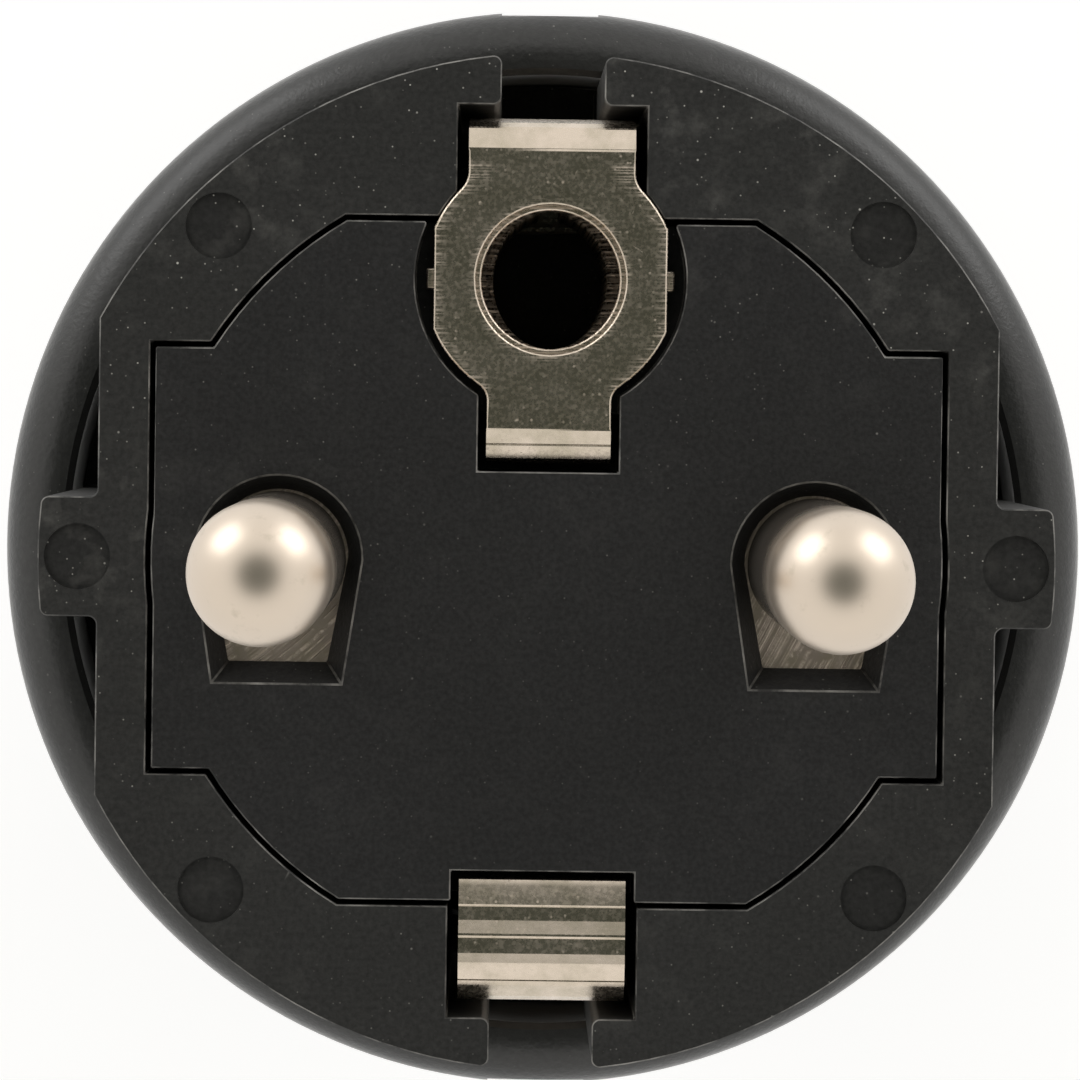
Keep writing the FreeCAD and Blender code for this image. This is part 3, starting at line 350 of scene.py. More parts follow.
def pressed_strip(name, nickel, tarnish):
    """Bronze strip, pressed, tumbled and nickel plated: its flats mirror the dim overhead, pits and
    scratches glint on them, small flecks carry a painted glint of clean nickel, and a shearing burr
    leaves short level strokes along its sides."""
    material, tree, place = open_material(name)
    parts = add(tree, "SeparateXYZ", {0: place}).node.outputs
    side = add(tree, "Math", {0: parts[0]}, operation="ABSOLUTE")
    from_hole = add(tree, "VectorMath", {0: place, 1: (0, EARTH_Y * MM, 0)}, operation="SUBTRACT")
    from_hole = add(tree, "VectorMath", {0: from_hole, 1: (1, 1, 0)}, operation="MULTIPLY")
    radius = add(tree, "VectorMath", {0: from_hole}, "Value", operation="LENGTH")
    in_neck = add(tree, "Math", {0: parts[1], 1: 6.4 * MM}, operation="LESS_THAN")
    on_plate = add(tree, "Math", {0: parts[1], 1: 9.9 * MM, 2: 4.3 * MM}, operation="COMPARE")
    # the burr lies along the ring's sides, round its hole, and along the sides of the neck
    bands = (
        add(tree, "MapRange", {"Value": side, "From Min": 3.6 * MM, "From Max": 4.1 * MM}),
        add(tree, "MapRange", {"Value": radius, "From Min": 3.0 * MM, "From Max": EARTH_HOLE * MM}),
    )
    outside = add(tree, "MapRange", {"Value": radius, "From Min": 3.95 * MM, "From Max": 4.5 * MM})
    outside = add(tree, "Math", {0: outside, 1: in_neck}, operation="MAXIMUM")
    neck = add(tree, "MapRange", {"Value": side, "From Min": 1.95 * MM, "From Max": 2.3 * MM})
    burr = add(tree, "Math", {0: neck, 1: outside}, operation="MULTIPLY")
    for band in bands:
        burr = add(tree, "Math", {0: burr, 1: band}, operation="MAXIMUM")
    # burr strokes are finer than the render shows, and are drawn 0.09 mm apart
    strokes = {"W": parts[1], "Scale": 1 / (0.09 * MM), "Detail": 2.0}
    level = add(tree, "TexNoise", strokes, noise_dimensions="1D")
    level = add(tree, "MapRange", {"Value": level, "From Min": 0.46, "From Max": 0.62})
    burr = add(tree, "Math", {0: burr, 1: level}, operation="MULTIPLY")
    burr = add(tree, "Math", {0: burr, 1: on_plate}, operation="MULTIPLY")
    worn = patches(tree, place, 0.5, 0.3, 0.52)
    burr = add(tree, "Math", {0: burr, 1: worn}, operation="MULTIPLY")
    pits = patches(tree, place, 0.16, 0.42, 0.8, detail=3)
    stains = patches(tree, place, 1.4, 0.38, 0.66, detail=5)
    painted_glints = flecks(tree, place, spacing=0.24, radius=0.06, share=0.6)
    scratch = add(
        tree,
        "Math",
        {
            0: patches(tree, place, 0.1, 0.7, 0.76, turn=64, stretch=12),
            1: patches(tree, place, 0.1, 0.7, 0.76, turn=-35, stretch=12),
        },
        operation="MAXIMUM",
    )
    lines = add(tree, "Math", {0: scratch, 1: burr}, operation="MAXIMUM")
    raised = add(tree, "Math", {0: lines, 1: painted_glints}, operation="MAXIMUM")
    dull = add(tree, "Math", {0: stains, 1: 0.5}, operation="MULTIPLY")
    tone = add(tree, "Mix", {0: dull, 6: nickel, 7: tarnish}, 2, data_type="RGBA")
    # scratches and burr show clean nickel; the glint flecks are painted clean nickel too, as
    # painted highlights
    tone = add(tree, "Mix", {0: raised, 6: tone, 7: nickel}, 2, data_type="RGBA")
    rough = add(tree, "Math", {0: pits, 1: 0.2, 2: 0.22}, operation="MULTIPLY_ADD")
    rough = add(tree, "Math", {0: raised, 1: 0.3, 2: rough}, operation="MULTIPLY_ADD")
    height = add(tree, "Math", {0: pits, 1: 0.2, 2: lines}, operation="MULTIPLY_ADD")
    normal = add(tree, "Bump", {"Height": height, "Distance": 0.006 * MM, "Strength": 0.5})
    links = {"Base Color": tone, "Metallic": 1.0, "Roughness": rough, "Normal": normal}
    add(tree, "OutputMaterial", {"Surface": add(tree, "BsdfPrincipled", links)})
    return material


def milled_foot(name, nickel, tarnish):
    """Keyhole bar faced by a sweeping cutter: warm grey, with curved lines that catch the light as
    a painted highlight of bright nickel over their bump.
    """
    material, tree, place = open_material(name)
    # cutter lines are finer than the render shows, and are drawn 0.16 mm apart, round a centre
    # that lies far off at the upper left
    centre = (-24 * MM, 14 * MM, FACE)
    away = add(tree, "VectorMath", {0: place, 1: centre}, "Value", operation="DISTANCE")
    sweep = {"W": away, "Scale": 1 / (0.16 * MM), "Detail": 3.0, "Roughness": 0.6}
    cut = add(tree, "TexNoise", sweep, noise_dimensions="1D")
    cut = add(tree, "MapRange", {"Value": cut, "From Min": 0.44, "From Max": 0.64})
    broken = patches(tree, place, 0.7, 0.4, 0.56)
    marks = add(tree, "Math", {0: cut, 1: broken}, operation="MULTIPLY")
    stains = patches(tree, place, 0.9, 0.45, 0.7, 0.6)
    dark = [c * 0.55 for c in nickel[:3]] + [1]
    base = add(tree, "Mix", {0: stains, 6: dark, 7: tarnish}, 2, data_type="RGBA")
    # painted highlight: the cutter lines are painted bright nickel where they catch the light
    tone = add(tree, "Mix", {0: marks, 6: base, 7: nickel}, 2, data_type="RGBA")
    normal = add(tree, "Bump", {"Height": marks, "Distance": 0.04 * MM, "Strength": 0.8})
    links = {"Base Color": tone, "Metallic": 1.0, "Roughness": 0.55, "Normal": normal}
    add(tree, "OutputMaterial", {"Surface": add(tree, "BsdfPrincipled", links)})
    return material


def plain_metal(name, colour, roughness, size):
    """Turned or rolled stock with a light handling bloom."""
    material, tree, place = open_material(name)
    bloom = patches(tree, place, size, 0.4, 0.75, detail=5)
    dark = [c * 0.6 for c in colour[:3]] + [1]
    tone = add(tree, "Mix", {0: bloom, 6: colour, 7: dark}, 2, data_type="RGBA")
    handled = {"Value": bloom, "To Min": roughness - 0.08, "To Max": roughness + 0.12}
    rough = add(tree, "MapRange", handled)
    normal = add(tree, "Bump", {"Height": bloom, "Distance": 0.01 * MM, "Strength": 0.4})
    links = {"Base Color": tone, "Metallic": 1.0, "Roughness": rough, "Normal": normal}
    add(tree, "OutputMaterial", {"Surface": add(tree, "BsdfPrincipled", links)})
    return material


def soft_rubber(name, colour):
    """Moulded rubber: matt, with a powdery bloom."""
    material, tree, place = open_material(name)
    bloom = patches(tree, place, 0.8, 0.4, 0.8, detail=5)
    pale = [c * 2.6 for c in colour[:3]] + [1]
    tone = add(tree, "Mix", {0: bloom, 6: colour, 7: pale}, 2, data_type="RGBA")
    normal = add(tree, "Bump", {"Height": bloom, "Distance": 0.02 * MM, "Strength": 0.4})
    links = {"Base Color": tone, "Roughness": 0.7, "IOR": 1.52, "Normal": normal}
    add(tree, "OutputMaterial", {"Surface": add(tree, "BsdfPrincipled", links)})
    return material


# Meshes
def cleaned(node):
    """A bmesh of a frame node with its doubles merged and its flat faces made whole."""
    shape = bmesh.new()
    shape.from_mesh(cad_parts[node].data)
    bmesh.ops.remove_doubles(shape, verts=shape.verts, dist=0.004 * MM)
    bmesh.ops.dissolve_limit(
        shape,
        angle_limit=math.radians(0.4),
        verts=shape.verts,
        edges=shape.edges,
        use_dissolve_boundaries=False,
    )
    return shape


def slice_through(shape, place, normal, clear_outer=False):
    """Divides the faces of a bmesh along a plane, and may take away what lies beyond it."""
    bmesh.ops.bisect_plane(
        shape,
        geom=shape.verts[:] + shape.edges[:] + shape.faces[:],
        dist=0.001 * MM,
        plane_co=place,
        plane_no=normal,
        clear_outer=clear_outer,
    )


def on_ejector_mark(edge):
    """Whether an edge belongs to one of the six round marks in the collar's face."""
    middle = (edge.verts[0].co + edge.verts[1].co) / 2
    spot = Vector((abs(middle.x), abs(middle.y))) / MM
    nearest = min((spot - Vector(centre)).length for centre in EJECTOR_MARKS)
    return middle.z > FACE - 0.3 * MM and nearest < EJECTOR_RADIUS + 0.075


def shade(shape, sharp=30):
    """Smooth faces with sharp edges where two faces meet at more than an angle in degrees; edges
    past BREAK_ANGLE are to be broken, save those of the ejector marks."""
    weight = shape.edges.layers.float.new("bevel_weight_edge")
    for edge in shape.edges:
        turn = edge.calc_face_angle(0) if len(edge.link_faces) == 2 else math.pi
        edge.smooth = turn < math.radians(sharp)
        edge[weight] = float(turn > math.radians(BREAK_ANGLE) and not on_ejector_mark(edge))
    for face in shape.faces:
        face.smooth = True
        face.material_index = 0


def keep_corners(shape, kept):
    """Takes out of the bevel each edge whose middle, in millimetres, answers to kept."""
    weight = shape.edges.layers.float["bevel_weight_edge"]
    for edge in shape.edges:
        if kept((edge.verts[0].co + edge.verts[1].co) / 2 / MM):
            edge[weight] = 0


def round_corners(shape, edges, width, segments):
    """Rounds a few edges of the bmesh itself."""
    bmesh.ops.bevel(
        shape,
        geom=edges,
        offset=width,
        offset_type="OFFSET",
        affect="EDGES",
        segments=segments,
        profile=0.5,
        material=-1,
        clamp_overlap=True,
    )


def upright_corners(shape, places, reach):
    """Steep edges of the bmesh whose middles lie in plan near one of the places, in metres."""
    found = []
    for edge in shape.edges:
        first, last = (v.co for v in edge.verts)
        middle = (first + last) / 2
        steep = abs(first.z - last.z) > 0.6 * edge.calc_length()
        if steep and any((middle.xy - Vector(p)).length < reach for p in places):
            found.append(edge)
    if len(found) < len(places):
        raise RuntimeError("A corner of the frame's mesh was not found")
    return found


def finish_piece(shape, name, materials, slot, *nodes):
    """Makes the piece, gives it its materials, and hides the frame nodes that it takes the place
    of.
    """
    mesh = bpy.data.meshes.new(name)
    shape.to_mesh(mesh)
    shape.free()
    piece = bpy.data.objects.new(name, mesh)
    bpy.context.scene.collection.objects.link(piece)
    for material in materials:
        mesh.materials.append(material)
    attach(piece, "root")
    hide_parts(*nodes)
    return piece


def break_edges(piece, width, material=-1, segments=2):
    """Rounds the sharp edges of a piece with a live bevel and keeps its flats flat."""
    bevel = piece.modifiers.new("Broken edges", "BEVEL")
    bevel.limit_method = "WEIGHT"
    bevel.width = width
    bevel.segments = segments
    bevel.use_clamp_overlap = False
    bevel.material = material
    normals = piece.modifiers.new("Flat normals", "WEIGHTED_NORMAL")
    normals.keep_sharp = True


def turned_profile(shape, start, moves):
    """Draws a profile in the XZ plane from start, in millimetres. A move is a point to go to in a
    straight line, or a centre and the degrees to swing about it."""
    pen = shape.verts.new((start[0] * MM, 0, start[1] * MM))
    for move in moves:
        if len(move) == 2:
            made = bmesh.ops.extrude_vert_indiv(shape, verts=[pen])
            pen = made["verts"][0]
            pen.co = (move[0] * MM, 0, move[1] * MM)
            continue
        made = bmesh.ops.spin(
            shape,
            geom=[pen],
            cent=(move[0] * MM, 0, move[1] * MM),
            axis=(0, -1, 0),
            angle=math.radians(move[2]),
            steps=10,
        )
        pen = next(item for item in made["geom_last"] if isinstance(item, bmesh.types.BMVert))


def spun(shape, steps):
    """Turns a profile in the XZ plane once round the upright axis."""
    bmesh.ops.spin(
        shape,
        geom=shape.verts[:] + shape.edges[:],
        cent=(0, 0, 0),
        axis=(0, 0, 1),
        angle=2 * math.pi,
        steps=steps,
        use_merge=True,
    )
    bmesh.ops.remove_doubles(shape, verts=shape.verts, dist=0.01 * MM)
    bmesh.ops.recalc_face_normals(shape, faces=shape.faces)


def add_rod(shape, x, y, low, high, radius, segments):
    """A rod along the upright axis, in millimetres."""
    spot = Matrix.Translation(Vector((x, y, (low + high) / 2)) * MM)
    bmesh.ops.create_cone(
        shape,
        cap_ends=True,
        segments=segments,
        radius1=radius * MM,
        radius2=radius * MM,
        depth=(high - low) * MM,
        matrix=spot,
    )


def combined(shape, tool, operation):
    """The first solid with the other one joined to it or cut out of it."""
    pair = []
    for name, solid in (("solid", shape), ("tool", tool)):
        mesh = bpy.data.meshes.new(name)
        solid.to_mesh(mesh)
        solid.free()
        thing = bpy.data.objects.new(name, mesh)
        bpy.context.scene.collection.objects.link(thing)
        pair.append(thing)
    step = pair[0].modifiers.new("Step", "BOOLEAN")
    step.object = pair[1]
    step.operation = operation
    step.solver = "EXACT"
    solid = pair[0].evaluated_get(bpy.context.evaluated_depsgraph_get())
    result = bmesh.new()
    result.from_mesh(solid.data)
    for thing in pair:
        mesh = thing.data
        bpy.data.objects.remove(thing)
        bpy.data.meshes.remove(mesh)
    return result


# Bends of the earth bow as (outer y, outer z, inner y, inner z) in millimetres, z from the face
TOP_BEND = (
    (14.62, 0.10, 14.62, -0.70), (14.66, 0.08, 14.64, -0.71), (15.32, -0.26, 14.75, -0.82),
    (15.38, -0.31, 14.77, -0.84), (15.54, -0.65, 14.79, -0.95), (15.58, -1.05, 14.80, -1.20),
)
NECK_BEND = (
    (4.68, 0.10, 4.68, -0.70), (4.64, 0.08, 4.66, -0.71), (4.20, -0.15, 4.55, -0.80),
    (4.16, -0.19, 4.53, -0.82), (4.12, -0.18, 4.51, -0.84), (3.68, -0.43, 4.38, -1.00),
    (3.56, -0.85, 4.33, -1.20), (3.50, -1.60, 4.30, -1.60), (3.50, -3.90, 4.30, -3.90),
)
CLIP_BEND = (
    (-15.58, -1.05, -14.80, -1.15), (-15.42, -0.65, -14.70, -0.95), (-15.04, -0.20, -14.55, -0.80),
    (-14.98, -0.14, -14.50, -0.77), (-14.83, -0.025, -14.42, -0.71),
    (-14.81, -0.045, -14.40, -0.70), (-14.78, -0.01, -14.38, -0.69), (-14.24, 0.27, -14.10, -0.54),
    (-14.16, 0.30, -14.04, -0.52), (-13.84, 0.18, -13.80, -0.58), (-13.30, 0.18, -13.30, -0.62),
    (-13.26, 0.21, -13.26, -0.62), (-13.22, 0.18, -13.22, -0.62), (-13.14, 0.18, -13.14, -0.63),
    (-12.68, 0.02, -12.70, -0.74), (-12.20, 0.01, -12.22, -0.80), (-12.16, 0.04, -12.18, -0.80),
    (-12.12, 0.01, -12.15, -0.80), (-11.46, -0.165, -12.10, -0.85), (-11.26, -0.25, -12.06, -0.92),
    (-11.24, -0.35, -12.04, -1.05), (-11.24, -3.90, -12.04, -3.90),
)


def sweep_strip(shape, loop, stations):
    """Carries the strip's open end, a loop of edges, through the stations of a bend."""
    outer_at = Vector((0, stations[0][0] * MM, FACE + stations[0][1] * MM))
    for station in stations:
        made = bmesh.ops.extrude_edge_only(shape, edges=loop)
        verts = [item for item in made["geom"] if isinstance(item, bmesh.types.BMVert)]
        loop = [e for e in shape.edges if e.is_boundary and all(v in verts for v in e.verts)]
        verts.sort(key=lambda v: (v.co - outer_at).yz.length)
        for side, (y, z) in ((verts[:2], station[:2]), (verts[2:], station[2:])):
            for vert in side:
                vert.co.y, vert.co.z = y * MM, FACE + z * MM
        outer_at = Vector((0, station[0] * MM, FACE + station[1] * MM))
    return loop


def open_loop(shape, near):
    """The open edges round the end of the strip that lies at a place (y, z) in millimetres."""
    place = Vector(near) * MM
    found = []
    for edge in shape.edges:
        middle = (edge.verts[0].co + edge.verts[1].co) / 2
        if edge.is_boundary and (middle.yz - place).length < 1.2 * MM:
            found.append(edge)
    if not found:
        raise RuntimeError("The earth bow has no open end there")
    return found


def bend_the_bow(shape):
    """Gives the bow its creased bends: the plate's two ends and the lower leg are cut open and
    carried on through their stations, and the plate's top end then joins the upper leg."""
    for centre, normal in (
        ((0, PLATE_END, 0), (0, 1, 0)),
        ((0, NECK_END, 0), (0, 1, 0)),
        ((0, 0, LEG_END), (0, 0, 1)),
    ):
        slice_through(shape, Vector(centre) * MM, normal)
    gone = []
    for face in shape.faces:
        y, z = (face.calc_center_median() / MM).yz
        top_end = y > PLATE_END and z > LEG_END
        neck_end = 0 < y < NECK_END and z > 50
        clip = y < -14 and z > LEG_END or -14.5 < y < -5 and z > 50
        if top_end or neck_end or clip:
            gone.append(face)
    bmesh.ops.delete(shape, geom=gone, context="FACES")
    level = FACE / MM - PLATE_MIDDLE
    end = sweep_strip(shape, open_loop(shape, (PLATE_END, level)), TOP_BEND)
    leg = [e for e in open_loop(shape, (LEG_MIDDLE, LEG_END)) if e not in end]
    bmesh.ops.bridge_loops(shape, edges=end + leg)
    for start, stations in (((NECK_END, level), NECK_BEND), ((-LEG_MIDDLE, LEG_END), CLIP_BEND)):
        end = sweep_strip(shape, open_loop(shape, start), stations)
        bmesh.ops.holes_fill(shape, edges=end)
    bmesh.ops.recalc_face_normals(shape, faces=shape.faces)


# Operators
class PLUG_OT_mouldings(bpy.types.Operator):
    """Collar, contact carrier and pin retainer in moulded plastic"""

    bl_idname = "plug.mouldings"
    bl_label = "Mouldings"

    def execute(self, context):
        sizes = context.scene.plug_sizes
        colours = context.scene.plug_colours
        # polyamide: matt and grained, the collar dusty and marked by its tool, the carrier
        # cleaner, and both pale along their edges, partly from rubbing and partly as a painted
        # highlight
        collar = moulded_plastic(
            "black moulded polyamide collar",
            colours.collar,
            colours.dust,
            grain=0.2,
            gloss=0.5,
            specular=0.2,
            dusty=1.3,
            tool_marks=True,
        )
        carrier = moulded_plastic(
            "black moulded polyamide carrier",
            colours.carrier,
            colours.dust,
            grain=0.17,
            gloss=0.5,
            specular=0.18,
            dusty=0.45,
        )
        edge = rubbed_and_highlit_edge("rubbed and highlit polyamide edge", colours.collar, colours.worn_and_highlit_edge)
        for node, plain, slot in (
            ("collar", collar, "collar_plastic"),
            ("contact_carrier", carrier, "carrier_plastic"),
            ("pin_retainer", carrier, "carrier_plastic"),
        ):
            shape = cleaned(node)
            shade(shape)
            piece = finish_piece(shape, node + "_moulding", [plain, edge], slot, node)
            break_edges(piece, sizes.mould_edge, material=1, segments=1)
        return {"FINISHED"}


class PLUG_OT_housing(bpy.types.Operator):
    """Turned-smooth outer shell with its flutes, and the gland nut"""

    bl_idname = "plug.housing"
    bl_label = "Housing"

    def execute(self, context):
        sizes = context.scene.plug_sizes
        colours = context.scene.plug_colours
        # ABS: coarser in grain and a little glossier, with a soft pale sheen on its rounds
        plain = moulded_plastic(
            "black moulded ABS housing",
            colours.housing,
            colours.dust,
            grain=0.25,
            gloss=0.36,
            specular=0.5,
            dusty=0.25,
            sheen=0.6,
        )

        # shell: mouth, ledge, hollow, seal seat, neck, shoulder, tapered grip and round rim
        front = SHELL_HIGH[2] / MM
        rim = SHELL_HIGH[0] / MM - 0.002
        shell = bmesh.new()
        turned_profile(
            shell,
            (18.35, front),
            (
                (18.1, front - 0.25), (18.1, 31), (15.2, 31), (15.2, 28.6), (17.4, 28.6),
                (17.4, 24), (10.8, 24, -90), (5.3, 13), (5.3, 10.2), (7.1, 10.2), (7.1, 3.4),
                (9, 3.4), (9, 11.6), (12, 11.6), (12, 15.08), (10.8, 24, 82.34), (rim, front - 2),
                (rim - 2, front - 2, 90), (18.35, front),
            ),
        )
        spun(shell, 180)

        # pillars of the two housing screws, kept inside the shoulder's outer face
        pillars = bmesh.new()
        outside = bmesh.new()
        for side in (-1, 1):
            add_rod(pillars, side * SCREW_X, 0, 16, 28.7, 2.75, 48)
        turned_profile(
            outside,
            (12, 11),
            ((23, 11), (23, 24), (19.7, 24), (10.8, 24, -82), (12, 15.2), (12, 11)),
        )
        spun(outside, 96)
        shell = combined(shell, combined(pillars, outside, "DIFFERENCE"), "UNION")

        # finger flutes on both sides, a shallow groove at top and bottom, and the screw holes
        cutter = bmesh.new()
        away = 20.9
        for turn in (0, 180):
            for step in range(-2, 3):
                angle = math.radians(turn + 12 * step)
                add_rod(cutter, away * math.cos(angle), away * math.sin(angle), 24.5, 35.5, 1.6, 32)
        for side in (-1, 1):
            groove = Matrix.Translation(Vector((0, side * 21.4, 34)) * MM)
            groove = groove @ Matrix.Diagonal(Vector((3.7 * MM, 2 * MM, 19 * MM, 1)))
            bmesh.ops.create_cube(cutter, size=1, matrix=groove)
        shell = combined(shell, cutter, "DIFFERENCE")
        for low, high, radius, segments in ((11, 25, 2.25, 48), (24.9, 31.5, 1.35, 32)):
            holes = bmesh.new()
            for side in (-1, 1):
                add_rod(holes, side * SCREW_X, 0, low, high, radius, segments)
            shell = combined(shell, holes, "DIFFERENCE")
        shade(shell)
        piece = finish_piece(
            shell, "outer_shell_moulding", [plain], "housing_plastic", "outer_shell"
        )
        normals = piece.modifiers.new("Flat normals", "WEIGHTED_NORMAL")
        normals.keep_sharp = True

        shape = cleaned("gland_nut")
        shade(shape)
        nut = finish_piece(shape, "gland_nut_moulding", [plain], "housing_plastic", "gland_nut")
        break_edges(nut, sizes.mould_edge * 2)
        return {"FINISHED"}


class PLUG_OT_pins(bpy.types.Operator):
    """Two turned pins with round tips and keyhole feet"""

    bl_idname = "plug.pins"
    bl_label = "Pins"

    def execute(self, context):
        sizes = context.scene.plug_sizes
        colours = context.scene.plug_colours
        # shanks: soft warm mirrors, darkened towards the face by painted shade; feet: grey, with
        # the cutter's curved lines painted bright as a painted highlight
        bright = plated_pin("bright nickel-plated turned brass", colours.nickel, colours.tarnish)
        milled = milled_foot("milled nickel-plated brass foot", colours.nickel, colours.tarnish)
        foot_face = FACE - 1.2 * MM
        relief = 2.2 * MM  # radius of the turned relief at a shank's root
        relief_depth = 1.25 * MM
        for node, side in (("line_pin", -1), ("neutral_pin", 1)):
            # foot: the frame's own solid up to its milled face
            foot = cleaned(node)
            slice_through(foot, (0, 0, foot_face), (0, 0, 1), clear_outer=True)
            bmesh.ops.contextual_create(foot, geom=[e for e in foot.edges if e.is_boundary])
            low = [(PIN_X * side + x * MM, -4.05 * MM) for x in (-2.15, 2.15)]
            round_corners(foot, upright_corners(foot, low, 0.1 * MM), sizes.foot_corner, 1)
            shade(foot)
            keep_corners(foot, lambda middle: middle.z < FACE / MM - 4)
            piece = finish_piece(foot, node + "_foot", [milled], "pin_nickel", node)
            break_edges(piece, sizes.foot_edge, segments=4)

            # shank: half a ball, drawn down to the face and on into the relief
            shank = bmesh.new()
            bmesh.ops.create_uvsphere(shank, u_segments=96, v_segments=48, radius=sizes.tip_round)
            slice_through(shank, (0, 0, 0), (0, 0, -1), clear_outer=True)
            length = PIN_TOP - sizes.tip_round - (FACE - 0.1 * MM)
            for drop, narrow in ((length, 1), (0, relief / sizes.tip_round), (relief_depth, 1)):
                rim = [e for e in shank.edges if e.is_boundary]
                made = bmesh.ops.extrude_edge_only(shank, edges=rim)
                lower = [v for v in made["geom"] if isinstance(v, bmesh.types.BMVert)]
                bmesh.ops.scale(shank, verts=lower, vec=(narrow, narrow, 1))
                bmesh.ops.translate(shank, verts=lower, vec=(0, 0, -drop))
            bmesh.ops.holes_fill(shank, edges=[e for e in shank.edges if e.is_boundary])
            spot = (PIN_X * side, 0, PIN_TOP - sizes.tip_round)
            bmesh.ops.translate(shank, verts=shank.verts, vec=spot)
            bmesh.ops.recalc_face_normals(shank, faces=shank.faces)
            shade(shank)
            finish_piece(shank, node + "_shank", [bright], "pin_nickel", node)
        return {"FINISHED"}


class PLUG_OT_earth(bpy.types.Operator):
    """Earth bow and earth sleeve in pressed, nickel-plated strip"""

    bl_idname = "plug.earth"
    bl_label = "Earth contacts"

    def execute(self, context):
        sizes = context.scene.plug_sizes
        colours = context.scene.plug_colours
        # strip: dark where it lies flat, bright on its bends, with small painted glints all over
        strip = pressed_strip("tumbled nickel-plated bronze strip", colours.nickel, colours.tarnish)

        # bow: the corners where ring and strip meet are rounded, and the bends are swept anew
        shape = cleaned("earth_bow")
        corners = [(s * x * MM, y * MM) for s in (-1, 1) for x, y in ((2.95, 13.4), (2.2, 6.07))]
        round_corners(shape, upright_corners(shape, corners, 0.15 * MM), sizes.strip_corner, 4)
        bend_the_bow(shape)
        shade(shape, 9)
        keep_corners(shape, lambda middle: not NECK_END + 0.01 < middle.y < PLATE_END - 0.01)
        bow = finish_piece(shape, "earth_bow_strip", [strip], "contact_nickel", "earth_bow")
        break_edges(bow, sizes.pressed_edge)

        # sleeve: its halves draw together a little way below the rim
        shape = cleaned("earth_sleeve")
        high = FACE - 1.55 * MM
        low = FACE - 2.0 * MM
        for level in (high, low):
            slice_through(shape, (0, 0, level), (0, 0, 1))
        for vert in shape.verts:
            share = min(max((high - vert.co.z) / (high - low), 0), 1)
            vert.co.x *= 1 - share * sizes.sleeve_draw / (SLEEVE_BORE * MM)
        shade(shape)
        tube = finish_piece(shape, "earth_sleeve_tube", [strip], "contact_nickel", "earth_sleeve")
        break_edges(tube, sizes.turned_edge)
        return {"FINISHED"}


class PLUG_OT_fittings(bpy.types.Operator):
    """Screws, washers, nut and seal in their own materials"""

    bl_idname = "plug.fittings"
    bl_label = "Fittings"

    def execute(self, context):
        colours = context.scene.plug_colours
        # steel: cool and bright; brass: warm yellow; rubber: matt black; polyamide: milky white
        steel = plain_metal("zinc-plated steel", colours.steel, roughness=0.3, size=0.6)
        brass = plain_metal("turned brass", colours.brass, roughness=0.25, size=0.5)
        rubber = soft_rubber("moulded black rubber", colours.rubber)
        polyamide = moulded_plastic(
            "natural polyamide",
            colours.polyamide,
            colours.dust,
            grain=0.2,
            gloss=0.4,
            specular=0.5,
            dusty=0.3,
        )
        wanted = {
            "terminal_screw": steel,
            "retainer_screw": steel,
            "housing_screw": steel,
            "earth_clamp_washer": steel,
            "earth_nut": brass,
            "gland_seal": rubber,
            "gland_washer": polyamide,
        }
        for key, material in wanted.items():
            nodes = [node for name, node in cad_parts.items() if key in name]
            if not nodes:
                raise RuntimeError("The frame has no " + key)
            for node in nodes:
                for slot in node.material_slots:
                    slot.material = material
        return {"FINISHED"}


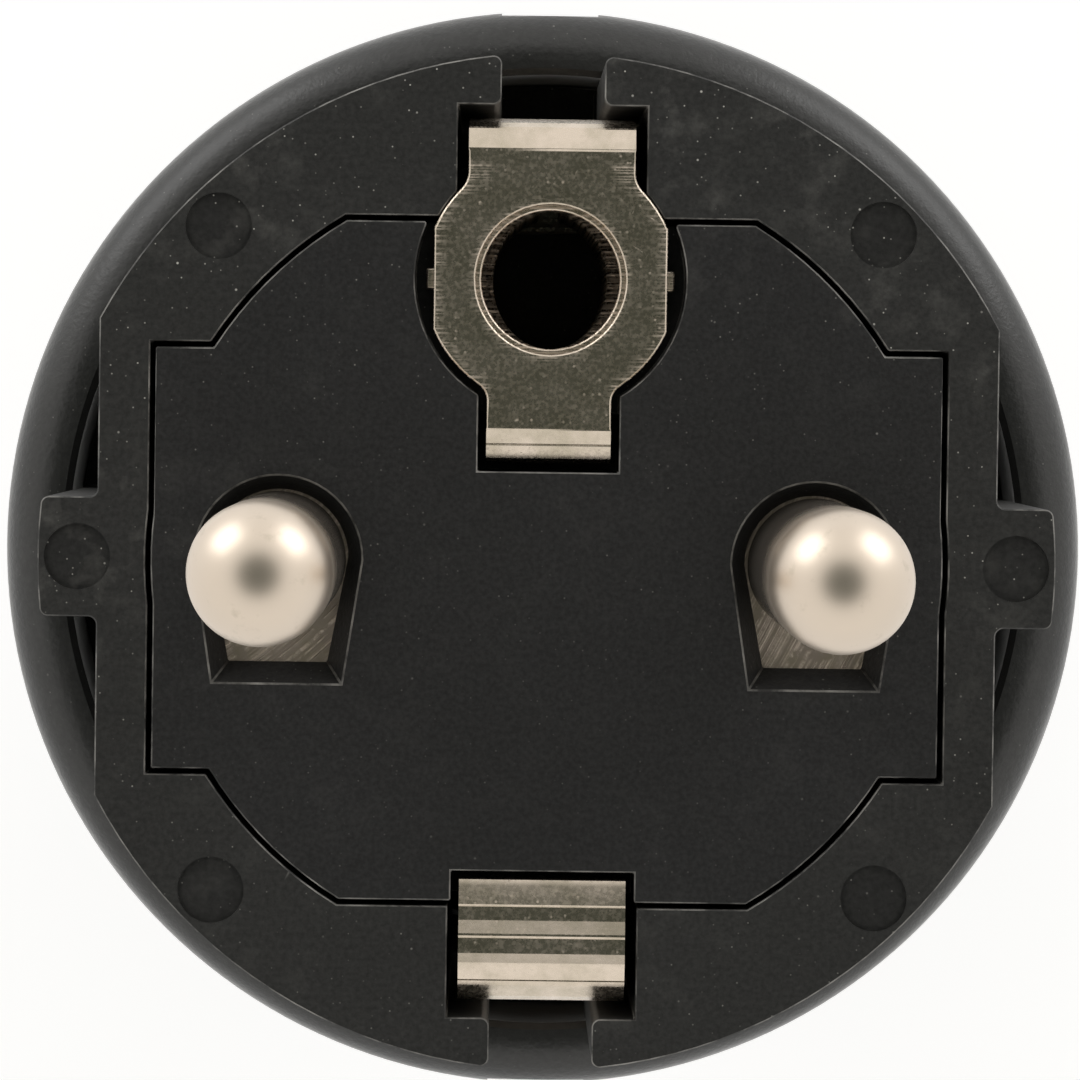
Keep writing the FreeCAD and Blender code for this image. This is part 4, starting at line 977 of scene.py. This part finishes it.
class PLUG_OT_studio(bpy.types.Operator):
    """Pale floor, soft lamps, dim patch overhead and the camera"""

    bl_idname = "plug.studio"
    bl_label = "Studio"

    def execute(self, context):
        scene = context.scene
        studio = scene.plug_studio

        # floor: white card, white where it is lit and darker under the plug
        shape = bmesh.new()
        bmesh.ops.create_grid(shape, x_segments=1, y_segments=1, size=1.5)
        bmesh.ops.translate(shape, verts=shape.verts, vec=(0, 0, -0.05 * MM))
        mesh = bpy.data.meshes.new("floor")
        shape.to_mesh(mesh)
        shape.free()
        floor = bpy.data.objects.new("floor", mesh)
        scene.collection.objects.link(floor)
        material = bpy.data.materials.new("plain white card")
        material.use_nodes = True
        tree = material.node_tree
        tree.nodes.clear()
        card = add(tree, "BsdfDiffuse", {"Color": studio.floor})
        rays = add(tree, "LightPath").node.outputs
        straight = {0: rays["Is Camera Ray"], 1: rays["Is Glossy Ray"]}
        seen = add(tree, "Math", straight, operation="MAXIMUM")
        seen = add(tree, "Math", {0: seen, 1: rays["Is Transmission Ray"]}, operation="MAXIMUM")
        lift = add(tree, "Math", {0: seen, 1: FLOOR_GLOW}, operation="MULTIPLY")
        glow = add(tree, "Emission", {"Color": (1, 1, 1, 1), "Strength": lift})
        both = add(tree, "AddShader", {0: card, 1: glow})
        add(tree, "OutputMaterial", {"Surface": both})
        mesh.materials.append(material)

        # world: pale all round, dim straight above as under a camera
        world = bpy.data.worlds.new("studio")
        scene.world = world
        world.use_nodes = True
        tree = world.node_tree
        tree.nodes.clear()
        way = add(tree, "TexCoord", out="Generated")
        up = add(tree, "SeparateXYZ", {"Vector": way}, "Z")
        inner = math.cos(studio.dark_cap)
        outer = math.cos(studio.dark_cap + studio.cap_edge)
        soft = {"Value": up, "From Min": outer, "From Max": inner}
        cap = add(tree, "MapRange", soft, interpolation_type="SMOOTHSTEP")
        walls = {0: cap, 6: studio.surround, 7: studio.overhead}
        tone = add(tree, "Mix", walls, 2, data_type="RGBA")
        seen = add(tree, "LightPath", out="Is Camera Ray")
        tone = add(tree, "Mix", {0: seen, 6: tone, 7: (1, 1, 1, 1)}, 2, data_type="RGBA")
        sky = add(tree, "Background", {"Color": tone, "Strength": WORLD_STRENGTH})
        add(tree, "OutputWorld", {"Surface": sky})

        # softboxes low at the upper left and the upper right of the face, in metres from it
        target = Vector((0, 0, FACE))
        for name, place in (
            ("softbox left", (-0.40, 0.41, 0.09)),
            ("softbox right", (0.40, 0.41, 0.09)),
        ):
            data = bpy.data.lights.new(name, "AREA")
            data.shape = "SQUARE"
            data.size = studio.box_size
            data.energy = studio.box_power
            lamp = bpy.data.objects.new(name, data)
            lamp.location = target + Vector(place)
            lamp.rotation_euler = (target - lamp.location).to_track_quat("-Z", "Y").to_euler()
            scene.collection.objects.link(lamp)

        # camera almost straight above, a little towards the earth hole
        data = bpy.data.cameras.new("camera")
        data.lens = studio.lens
        data.sensor_width = 36
        data.clip_start = 0.01
        data.clip_end = 10
        camera = bpy.data.objects.new("camera", data)
        scene.collection.objects.link(camera)
        camera.location = (-1.8 * MM, 6.2 * MM, FACE + studio.camera_height)
        aim = Vector((-0.25 * MM, 0.8 * MM, FACE))
        forward = (aim - camera.location).normalized()
        up = Vector((-math.sin(studio.roll), math.cos(studio.roll), 0))
        right = forward.cross(up).normalized()
        up = right.cross(forward).normalized()
        camera.rotation_euler = Matrix((right, up, -forward)).transposed().to_euler()
        scene.camera = camera

        scene.view_settings.view_transform = "Standard"
        return {"FINISHED"}


class PLUG_PT_sidebar(bpy.types.Panel):
    """Plug pieces and settings"""

    bl_label = "Plug"
    bl_idname = "PLUG_PT_sidebar"
    bl_space_type = "VIEW_3D"
    bl_region_type = "UI"
    bl_category = "Plug"

    def draw(self, context):
        layout = self.layout
        scene = context.scene
        for group in (scene.plug_sizes, scene.plug_colours, scene.plug_studio):
            box = layout.box()
            for key in group.__annotations__:
                box.prop(group, key)
        for operator in OPERATORS:
            layout.operator(operator.bl_idname)


OPERATORS = (
    PLUG_OT_mouldings,
    PLUG_OT_housing,
    PLUG_OT_pins,
    PLUG_OT_earth,
    PLUG_OT_fittings,
    PLUG_OT_studio,
)
CLASSES = (PlugSizes, PlugColours, PlugStudio) + OPERATORS + (PLUG_PT_sidebar,)


def register():
    for cls in CLASSES:
        bpy.utils.register_class(cls)
    bpy.types.Scene.plug_sizes = PointerProperty(type=PlugSizes)
    bpy.types.Scene.plug_colours = PointerProperty(type=PlugColours)
    bpy.types.Scene.plug_studio = PointerProperty(type=PlugStudio)


def unregister():
    del bpy.types.Scene.plug_studio
    del bpy.types.Scene.plug_colours
    del bpy.types.Scene.plug_sizes
    for cls in reversed(CLASSES):
        bpy.utils.unregister_class(cls)


def main():
    register()
    bpy.ops.plug.mouldings()
    bpy.ops.plug.housing()
    bpy.ops.plug.pins()
    bpy.ops.plug.earth()
    bpy.ops.plug.fittings()
    bpy.ops.plug.studio()


if __name__ == "__main__":
    main()
